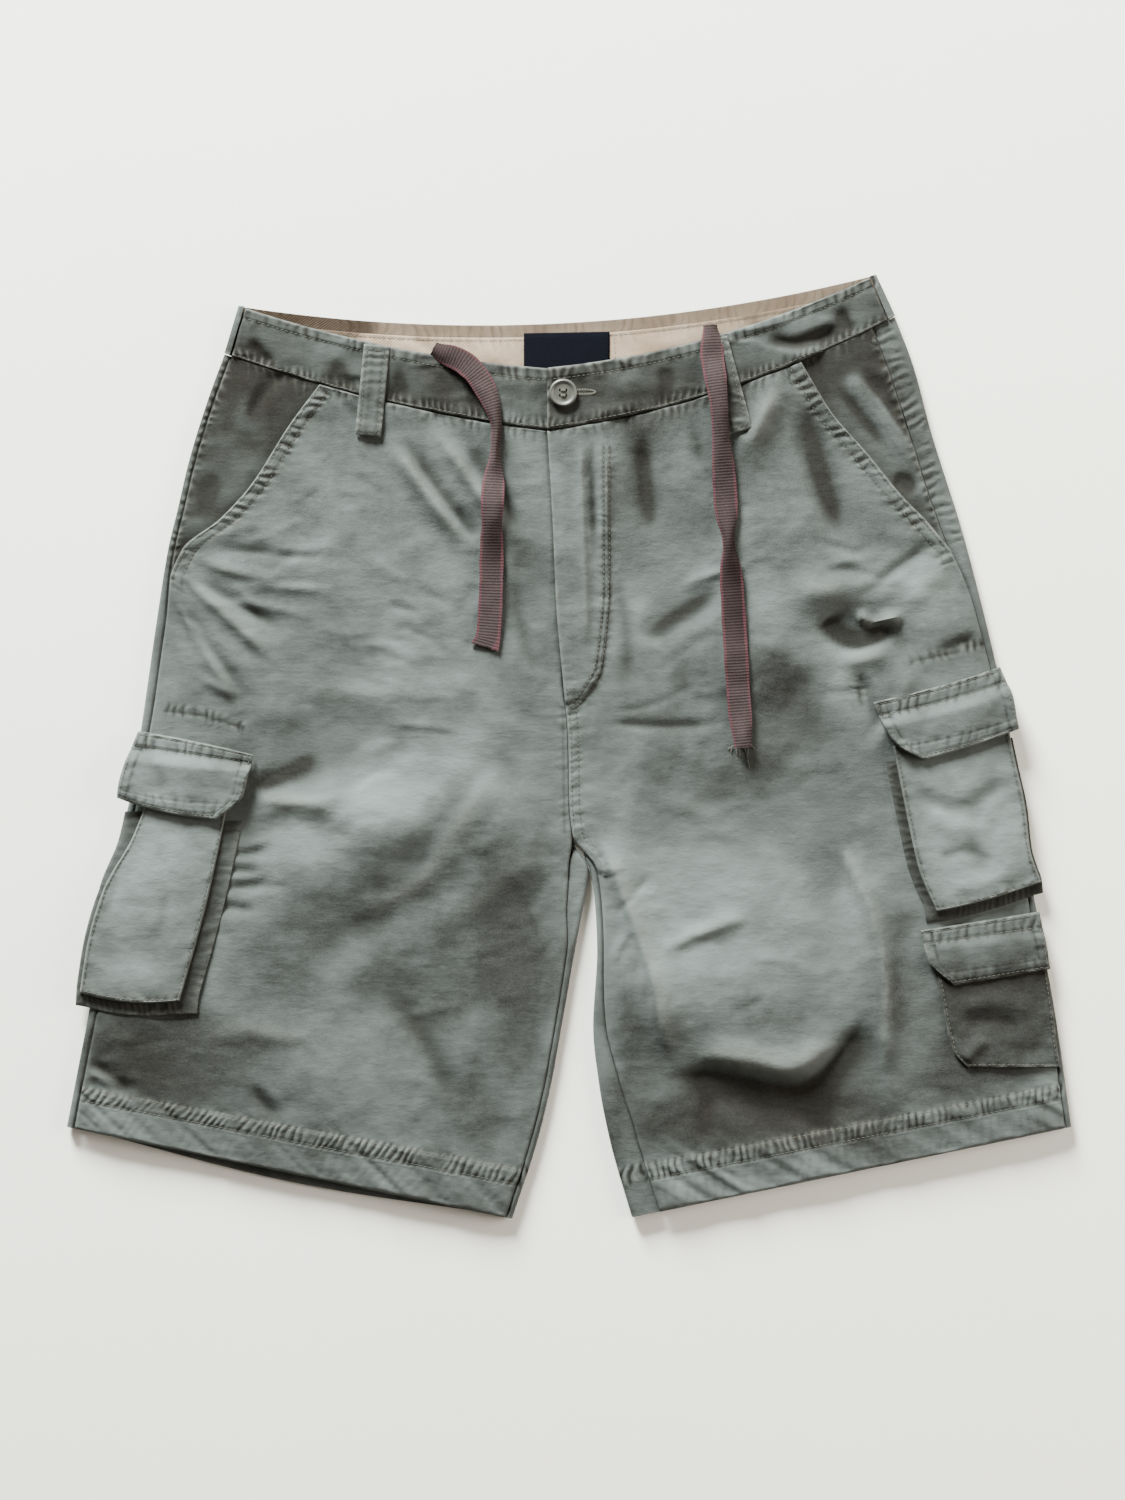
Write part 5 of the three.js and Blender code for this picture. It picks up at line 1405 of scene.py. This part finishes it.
def drawPocket(name, seed):
    facts = pockets[name]
    side, flap = facts["side"], facts.get("flap", False)
    across = places(facts["wide"], 1.4, first=8, last=8)[None, :]
    b = places(facts["tall"], 1.4, first=10, last=9)[:, None] + 0 * across
    a = across + 0 * b
    x, y = patchPoint(facts["rows"], a, b)
    z = (flapHeight if flap else faceHeight)(side, facts["lift"], x, y, b)
    fromLeft, fromRight = a * facts["wide"], (1 - a) * facts["wide"]
    fromTop, fromLow = b * facts["tall"], (1 - b) * facts["tall"]
    fromSide = np.minimum(fromLeft, fromRight)
    relief = creaseHeight(x, y, facts["creases"]) * smooth(fromSide / 6) * smooth(fromLow / 6)
    relief *= smooth((fromTop - 6) / 8)
    relief += 0.3 * softNoise(x, y, 12, seed) + 0.13 * softNoise(x, y, 5, seed + 1)
    sideRows, lowRows, topRows = ((6.5,), (2.0, 7.5), (2.0, 8.6)) if flap else ((2.0,), (2.0,), ())
    relief += stitchedEdge(fromSide, y, seed + 2, rows=sideRows, pucker=0.5, size=6, rim=1.0, reach=4)
    relief += stitchedEdge(fromLow, x, seed + 3, rows=lowRows, pucker=0.55, size=6, rim=1.0, reach=4)
    relief += stitchedEdge(fromTop, x, seed + 4, rows=topRows, pucker=0.5, size=6, rim=1.1, reach=4)
    if flap:
        z = z - 1.2 * bell(fromLow, 9) * smooth(fromTop / 20)
    wearAndHighlight = rubbedEdge(fromTop, x, seed + 5) * (1.0 if flap else 0.2)
    wearAndHighlight += rubbedEdge(fromSide, y, seed + 6, 1.4) * 0.9 + rubbedEdge(fromLow, x, seed + 7, 1.5)
    # Painted highlight along the foot of this face, where it rises toward its rim and faces the light
    if name == "cargoRightFace":
        wearAndHighlight += 0.5 * smooth((b - 0.86) / 0.1) * (0.5 + 0.5 * softNoise(x, y, 6, seed + 8))
    # Painted shade in creases and stitch grooves, and painted shadow of the flap on the face's top
    paintedShade = np.clip(-relief / 2.6, 0, 1) * 0.8 + (0 if flap else 0.5 * bell(fromTop, 14))
    paintedShade += 0.8 * stitchShade(fromSide, y, sideRows, seed + 9) + 0.8 * stitchShade(fromLow, x, lowRows, seed + 10)
    paintedShade += 0.8 * stitchShade(fromTop, x, topRows, seed + 11) if topRows else 0
    sewn = drawnUp((fromSide, y, sideRows[-1], 1.5, 0.25), (fromLow, x, lowRows[-1], 1.5, 0.35),
                   (fromTop, x, 9.0, 2, 0.6 if flap else 0))
    # Painted shadow of the flap, strongest at the top
    paintedShade += facts.get("shade", 0) * (0.25 + bell(fromTop, 27))
    clothSheet(name, x, y, z + relief, 1.2, sageFinish, facts["node"], wearAndHighlight, paintedShade, sewn)


gussets = {
    "cargoRightGusset": {"face": "cargoRightFace", "node": "cargo_right_gusset", "reach": (3, 8, 11), "spread": 11},
    "cargoLeftGusset": {"face": "cargoLeftFace", "node": "cargo_left_gusset", "reach": (6.5, 7, 1.5), "shade": 1.2},
}
gussetTuck = 2.5


# Strip between a raised pocket face and the leg, down one side, along the bottom and up the other side
def drawGusset(name, seed):
    facts = gussets[name]
    face = pockets[facts["face"]]
    left, bottom, right = facts["reach"]
    sideShares = np.linspace(0.1, 1, 46)
    spread = facts.get("spread", 0)

    def lowered(b):
        return -bottom * float(smooth((b - 0.97) / 0.03))

    # Each place has its shares across and down the face, and its reach sideways and downwards
    route = [(0, b, -left - spread * max(0, 1 - b / 0.5), lowered(b)) for b in sideShares]
    for a in np.linspace(0.02, 0.98, 44):
        route.append((a, 1, -left * (1 - min(1, a / 0.06)) + right * max(0, (a - 0.94) / 0.06), -bottom))
    route += [(1, b, right, lowered(b)) for b in sideShares[::-1]]
    a, b, dx, dy = (np.array(column)[None, :] for column in zip(*route))
    t = np.linspace(0, 1, 9)[:, None]
    rimX, rimY = patchPoint(face["rows"], a, b)
    inX, inY = (-np.sign(reach) * gussetTuck * (np.abs(reach) > 0.5) for reach in (dx, dy))
    x = mix(rimX + inX, rimX + dx, t)
    y = mix(rimY + inY, rimY + dy, t)
    under = faceHeight(face["side"], face["lift"], rimX, rimY, b) - pocketLayer - cloth["seamGap"]
    onLeg = drape(face["side"], x, y) + cloth["restGap"] + pocketLayer
    z = mix(np.maximum(under, onLeg), onLeg, smooth(t))
    run = np.arange(a.shape[1])[None, :] * 2.4
    z = z - 0.35 + 0.5 * np.sin(math.pi * t) * ripple(run + 4 * t, 7, seed) - 0.5 * (t > 0.95)
    wearAndHighlight = 0.7 * bell(1 - t, 0.2) * (0.5 + 0.5 * ripple(run + 0 * t, 5, seed + 1))
    # Painted shade, deepest next to the face and lighter toward the leg
    paintedShade = facts.get("shade", 0.95) - 0.4 * t + 0 * run
    wearAndHighlight *= 0.3 if "shade" in facts else 1
    clothSheet(name, x, y, z, 1.0, sageFinish, facts["node"], wearAndHighlight, paintedShade,
               (0.25 + 0 * z, run + 0 * z))


for name, seed in (("cargoRightFace", 620), ("cargoRightFlap", 640), ("cargoLeftFace", 660), ("cargoLeftFlap", 680),
                   ("patchLeftFace", 700), ("patchLeftFlap", 720)):
    drawPocket(name, seed)
for name, seed in (("cargoRightGusset", 740), ("cargoLeftGusset", 750)):
    drawGusset(name, seed)
print("shorts: pockets laid")


loops = {
    "right": {"top": (-122.9, 256.4), "bottom": (-128.6, 198.4), "wide": 16.6, "node": "belt_loop_right"},
    "left": {"top": (93, 260.4), "bottom": (109.4, 201), "wide": 16.6, "node": "belt_loop_left"},
}


# A loop's length, and the direction across it
def loopAxis(facts):
    (topX, topY), (lowX, lowY) = facts["top"], facts["bottom"]
    length = math.hypot(lowX - topX, lowY - topY)
    return length, -(lowY - topY) / length, (lowX - topX) / length


def drawLoop(side, seed):
    facts = loops[side]
    length, acrossX, acrossY = loopAxis(facts)
    (topX, topY), (lowX, lowY) = facts["top"], facts["bottom"]
    t = places(length, 1.2)[:, None]
    d = (places(facts["wide"], 0.9)[None, :] - 0.5) * facts["wide"]
    x = mix(topX, lowX, t) + acrossX * d
    y = mix(topY, lowY, t) + acrossY * d
    outerX, innerX = (legTables[side][key][0] for key in ("outerX", "innerX"))
    seam = bandPoint(side, np.clip((x - outerX) / (innerX - outerX), 0, 1), 0 * x)[1]
    onBand = smooth((y - seam + 3) / 5)
    onFront = drape(side, x, y) + (flyLift(x, y) if side == "left" else 0)
    base = mix(onFront, band["height"] + bandLift(side, x), onBand)
    z = base + 2.0 + 1.0 * np.sin(math.pi * t)
    fromEdge = facts["wide"] / 2 - np.abs(d) + 0 * t
    fromEnd = np.minimum(t, 1 - t) * length + 0 * d
    relief = -0.7 * (1 - np.clip(fromEdge / 1.4, 0, 1)) ** 2 - 0.3 * bell(fromEdge - 2.6, 0.7)
    relief += 0.35 * bell(fromEdge - 5.2, 1.4) + 0.2 * softNoise(x, y, 7, seed)
    relief += -0.5 * (1 - np.clip(fromEnd / 1.2, 0, 1)) ** 2 + 0.5 * smooth((9 - fromEnd) / 2)
    wearAndHighlight = 0.8 * bell(fromEdge, 1.4) + 0.8 * bell(fromEnd, 1.4) + 0.4 * bell(fromEnd - 9, 1.5)
    wearAndHighlight = wearAndHighlight * (0.6 + 0.4 * softNoise(x, y, 5, seed + 1))
    clothSheet(f"beltLoop{side.title()}", x, y, z + relief, 1.5, sageFinish, facts["node"], wearAndHighlight,
               0.4 + 0 * z, (0.4 + 0 * z, y))


drawLoop("right", 760)
drawLoop("left", 770)
print("shorts: belt loops laid")


stud = {
    "x": -3.8, "y": 225.6, "base": 10.9, "radius": 9, "hole": 1.0, "spacing": 3.4,
    "profile": [(0, 2.15), (3.6, 2.1), (6.2, 2.15), (6.9, 2.7), (7.8, 3.0), (8.6, 2.6), (9.0, 1.7), (8.6, 0.9),
                (7.6, 0.3), (0, 0.2)],
}


# Button: a turned profile with four holes bored through it
def drawButton():
    profile = stud["profile"]
    spans = 72
    bpy.ops.object.select_all(action="DESELECT")
    bpy.ops.mesh.primitive_grid_add(x_subdivisions=spans, y_subdivisions=len(profile) * 2 - 2, size=1)
    disc = bpy.context.object
    disc.name = disc.data.name = "waistButton"
    rows = np.linspace(0, len(profile) - 1, len(profile) * 2 - 1)
    radius = np.interp(rows, range(len(profile)), [p[0] for p in profile])[:, None]
    height = np.interp(rows, range(len(profile)), [p[1] for p in profile])[:, None]
    turn = np.linspace(0, 2 * math.pi, spans + 1)[None, :]
    x, y = stud["x"] + radius * np.cos(turn), stud["y"] + radius * np.sin(turn)
    points = np.stack([x, y, stud["base"] + height + 0 * turn], axis=-1)
    disc.data.vertices.foreach_set("co", (points * mm).ravel())
    bpy.ops.object.mode_set(mode="EDIT")
    bpy.ops.mesh.select_all(action="SELECT")
    bpy.ops.mesh.remove_doubles(threshold=0.00002)
    bpy.ops.mesh.normals_make_consistent(inside=False)
    bpy.ops.object.mode_set(mode="OBJECT")
    for cx, cy in ((-1, -1), (1, -1), (1, 1), (-1, 1)):
        bpy.ops.object.select_all(action="DESELECT")
        hole = (stud["x"] + cx * stud["spacing"] / 2, stud["y"] + cy * stud["spacing"] / 2, stud["base"] + 1)
        bpy.ops.mesh.primitive_cylinder_add(vertices=20, radius=stud["hole"] * mm, depth=0.01,
                                            location=[c * mm for c in hole])
        drill = bpy.context.object
        bpy.context.view_layer.objects.active = disc
        bore = disc.modifiers.new("bore", "BOOLEAN")
        bore.operation, bore.object, bore.solver = "DIFFERENCE", drill, "EXACT"
        bpy.ops.object.select_all(action="DESELECT")
        disc.select_set(True)
        bpy.ops.object.modifier_apply(modifier="bore")
        bpy.data.objects.remove(drill, do_unlink=True)
    disc.data.materials.clear()
    disc.data.materials.append(resinFinish)
    bpy.ops.object.shade_smooth_by_angle(angle=math.radians(40))
    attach(disc, "root")
    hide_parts("button")


drawButton()
print("shorts: button turned")


# Stitches: short rounded rods, joined into one piece for each seam
sewing = {"pitch": 3.1, "stitch": 2.2, "radius": 0.24, "sink": 0.05, "sides": 6}


def rodPoints(a, b, radius):
    along = (b - a).normalized()
    side = along.cross(Vector((0, 0, 1))).normalized()
    up = side.cross(along)
    turns = [2 * math.pi * k / sewing["sides"] for k in range(sewing["sides"])]
    rings = []
    for share, size in ((0.0, 0.35), (0.12, 0.85), (0.5, 1.0), (0.88, 0.85), (1.0, 0.35)):
        middle = a.lerp(b, share) + Vector((0, 0, -0.35 * radius * (abs(share - 0.5) * 2) ** 2))
        rings.append([middle + (side * math.cos(q) + up * math.sin(q)) * radius * size for q in turns])
    return rings


def sewRods(name, rods, radius, finish):
    sides = sewing["sides"]
    points, faces = [], []
    for a, b in rods:
        first = len(points)
        for ring in rodPoints(a, b, radius):
            points += ring
        last = len(points) - sides
        for r in range(first, last, sides):
            for k in range(sides):
                n = (k + 1) % sides
                faces.append((r + k, r + n, r + sides + n, r + sides + k))
        faces.append(tuple(reversed(range(first, first + sides))))
        faces.append(tuple(range(last, last + sides)))
    bpy.ops.object.select_all(action="DESELECT")
    bpy.ops.mesh.primitive_plane_add(size=1)
    row = bpy.context.object
    row.name = row.data.name = name
    row.data.clear_geometry()
    row.data.from_pydata([tuple(p) for p in points], [], faces)
    row.data.materials.append(finish)
    for polygon in row.data.polygons:
        polygon.use_smooth = True
    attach(row, "root")


# A row of stitches along a line on the named pieces
def runStitches(name, lines, on, finish, pitch=None, radius=None):
    pitch = pitch or sewing["pitch"]
    radius = radius or sewing["radius"]
    rods = []
    for line in lines:
        path = np.array(line, float)
        run = np.concatenate([[0], np.linalg.norm(np.diff(path, axis=0), axis=1).cumsum()])
        count = int(run[-1] / pitch)
        for k in range(count):
            ends = []
            for at in ((k + 0.14) * pitch, (k + 0.14) * pitch + sewing["stitch"] * pitch / sewing["pitch"]):
                x, y = float(np.interp(at, run, path[:, 0])), float(np.interp(at, run, path[:, 1]))
                z = below(on, x, y)
                ends.append(Vector((x * mm, y * mm, (z + radius * 0.55 - sewing["sink"]) * mm)))
            if abs(ends[0].z - ends[1].z) < 0.0025:
                rods.append(tuple(ends))
    sewRods(name, rods, radius * mm, finish)


def hemLine(side, inset):
    v = 1 - inset / cloth["length"]
    length = float(legLength(side, v))
    start = float(legValue(side, "wrapOut", v)) + 1.2
    end = length - float(legValue(side, "wrapIn", v)) - 1.2
    s = np.linspace(start, end, 90)
    x, y = legPoint(side, v + 0 * s, s / length)
    return list(zip(x, y))


def alongEdge(side, edge, inset, fromV, toV):
    v = np.linspace(fromV, toV, 60)
    length = legLength(side, v)
    if edge == "mouth":
        s = np.maximum(legValue(side, "wrapOut", v) + cloth["seamGap"], legValue(side, "mouth", v)) + inset
    else:
        s = length - legValue(side, "wrapIn", v) - inset
    x, y = legPoint(side, v, s / length)
    return list(zip(x, y))


def sewHemsAndSeams():
    for side in ("right", "left"):
        front = f"front{side.title()}"
        lines = [hemLine(side, row) for row in cloth["hemRows"]]
        lines += [alongEdge(side, "mouth", row, 0.004, end) for row, end in zip(cloth["mouthRows"], (0.286, 0.282))]
        if side == "left":
            lines += [curved(seams["left"]["fly"]), curved(seams["left"]["flyInner"])]
            lines += [alongEdge(side, "inner", row, 0.36, cloth["inseamSewnTo"]) for row in cloth["inseamRows"]]
        runStitches(f"{front}Stitches", lines, [front], sageThread)
    for side in ("right", "left"):
        name = f"waistbandFront{side.title()}"
        u = np.linspace(0.04, 1.0 if side == "left" else 1.04, 90)
        lines = []
        for t in (1 - band["topRow"] / band["depth"], band["seamRow"] / band["depth"]):
            x, y = bandPoint(side, np.minimum(u, 1), t + 0 * u)
            lines.append(list(zip(x, y)))
        runStitches(f"{name}Stitches", lines, [name], sageThread)
    strip = np.linspace(lining["from"] + 0.004, lining["to"] - 0.004, 120)
    x, y = backBandPoint(strip, 1 + 0 * strip)
    top = list(zip(x, y - lining["inset"] - lining["row"]))
    post = [(28.5, 266), (29.5, 254), (30, 240)]
    runStitches("facingStitches", [top, post], ["waistFacing"], paleThread)
    inset = 1.1
    left, right = tag["left"] + inset, tag["right"] - inset
    rim = [(left, tag["top"] - 2), (right, tag["top"] - inset), (right, tag["bottom"] + inset), (left, tag["bottom"]),
           (left, tag["top"] - 2)]
    runStitches("labelStitches", [rim], ["waistLabel"], labelFinish, pitch=2.4, radius=0.2)


def pocketLine(name, side, inset):
    facts = pockets[name]
    share = np.linspace(0.03, 0.97, 40)
    across, down = inset / facts["wide"], inset / facts["tall"]
    a, b = {"top": (share, down + 0 * share), "low": (share, 1 - down + 0 * share),
            "left": (across + 0 * share, share), "right": (1 - across + 0 * share, share)}[side]
    x, y = patchPoint(facts["rows"], a, b)
    return list(zip(x, y))


def sewPockets():
    for name, facts in pockets.items():
        if facts.get("flap"):
            lines = [pocketLine(name, "top", 2.0), pocketLine(name, "top", 8.6), pocketLine(name, "low", 2.0),
                     pocketLine(name, "left", 1.9), pocketLine(name, "right", 1.9)]
        else:
            lines = [pocketLine(name, "left", 2.0), pocketLine(name, "right", 2.0), pocketLine(name, "low", 2.0)]
        runStitches(f"{name}Stitches", lines, [name], sageThread)


# Two long rows on each loop, and a bar of close stitches at each of its ends
def sewLoops():
    tack = 1.1
    for side, facts in loops.items():
        name = f"beltLoop{side.title()}"
        _, acrossX, acrossY = loopAxis(facts)
        ends = (facts["top"], facts["bottom"])
        half = facts["wide"] / 2 - 2.6
        lines = [[(x + acrossX * d, y + acrossY * d) for x, y in ends] for d in (-half, half)]
        runStitches(f"{name}Stitches", lines, [name], sageThread)
        bars = []
        for t in (0.05, 0.94):
            x, y = (mix(top, low, t) for top, low in zip(*ends))
            for d in np.arange(-5 * tack, 5 * tack, tack):
                bars += [[(x + acrossX * e, y + acrossY * e - k) for e in (d, d + tack)] for k in (0, 0.7)]
        runStitches(f"{name}Tacks", bars, [name], sageThread, pitch=tack, radius=0.3)


# A place in metres at a rise above the named pieces
def above(names, x, y, rise):
    return Vector((x * mm, y * mm, (below(names, x, y) + rise) * mm))


# Thread through the button's holes, and the buttonhole's edge beside it
def sewButton():
    top = (stud["base"] + 2.75) * mm
    half = stud["spacing"] / 2
    rods = []
    for sign in (-1, 1):
        for shift in (-0.45, 0, 0.45):
            y = (stud["y"] + sign * half + shift) * mm
            rods.append((Vector(((stud["x"] - half) * mm, y, top)), Vector(((stud["x"] + half) * mm, y, top))))
    sewRods("buttonThread", rods, 0.32 * mm, paleThread)
    centre, reach, wide = (stud["x"] + 13.2, stud["y"] + 0.6), 7.6, 2.1
    rods = []
    for turn in np.linspace(0, 2 * math.pi, 46)[:-1]:
        inner = (centre[0] + 0.86 * reach * math.cos(turn), centre[1] + 0.3 * wide * math.sin(turn))
        outer = (centre[0] + 1.05 * reach * math.cos(turn), centre[1] + 1.15 * wide * math.sin(turn))
        if math.dist(outer, (stud["x"], stud["y"])) > stud["radius"]:
            rods.append([above(["waistbandFrontLeft"], *end, 0.2) for end in (inner, outer)])
    sewRods("buttonholeThread", rods, 0.26 * mm, paleThread)


# Loose ends of thread at the cut end of the left drawstring
frays = [
    ((104.5, 0.5), (103.6, -5)), ((107, 0), (107.6, -6)), ((109.5, 0), (109, -7)), ((112, 0.2), (113.4, -4.5)),
    ((114.5, 0.5), (114.4, -9)), ((114.4, -9), (116, -15)), ((105.5, 0.2), (101.5, -2)), ((116.5, 0.8), (119, -2.5)),
]


def sewFrays():
    rods = [(above(["frontLeft"], *start, 1.1), above(["frontLeft"], *end, 0.5)) for start, end in frays]
    sewRods("tapeFrays", rods, 0.28 * mm, paleThread)


sewHemsAndSeams()
sewPockets()
sewLoops()
sewFrays()
sewButton()
print("shorts: seams sewn")


# Floor and light
def drawFloor():
    bpy.ops.object.select_all(action="DESELECT")
    bpy.ops.mesh.primitive_plane_add(size=6, location=(0, 0, -0.0005))
    floor = bpy.context.object
    floor.name = "floor"
    bpy.ops.object.transform_apply(location=True, rotation=True, scale=True)
    floor.data.materials.append(paleFloor())


lights = [
    {"name": "windowLight", "place": (-1.2, 3.2, 1.25), "size": 1.2, "power": 1080, "tint": (0.93, 1.0, 0.99)},
    {"name": "roomFill", "place": (2.6, 0.3, 1.1), "size": 1.6, "power": 120, "tint": (1.0, 0.95, 0.88)},
]


def placeLights():
    for light in lights:
        bpy.ops.object.light_add(type="AREA", location=light["place"])
        lamp = bpy.context.object
        lamp.name = light["name"]
        lamp.data.size, lamp.data.energy, lamp.data.color = light["size"], light["power"], light["tint"]
        aim = Vector((0, 0, 0)) - Vector(light["place"])
        lamp.rotation_euler = aim.to_track_quat("-Z", "Y").to_euler()
    world = bpy.context.scene.world or bpy.data.worlds.new("room")
    bpy.context.scene.world = world
    world.use_nodes = True
    world.node_tree.nodes["Background"].inputs["Color"].default_value = (1.0, 0.92, 0.83, 1)
    world.node_tree.nodes["Background"].inputs["Strength"].default_value = 0.26


drawFloor()
placeLights()
print("shorts: floor and lights placed")
bpy.context.view_layer.update()
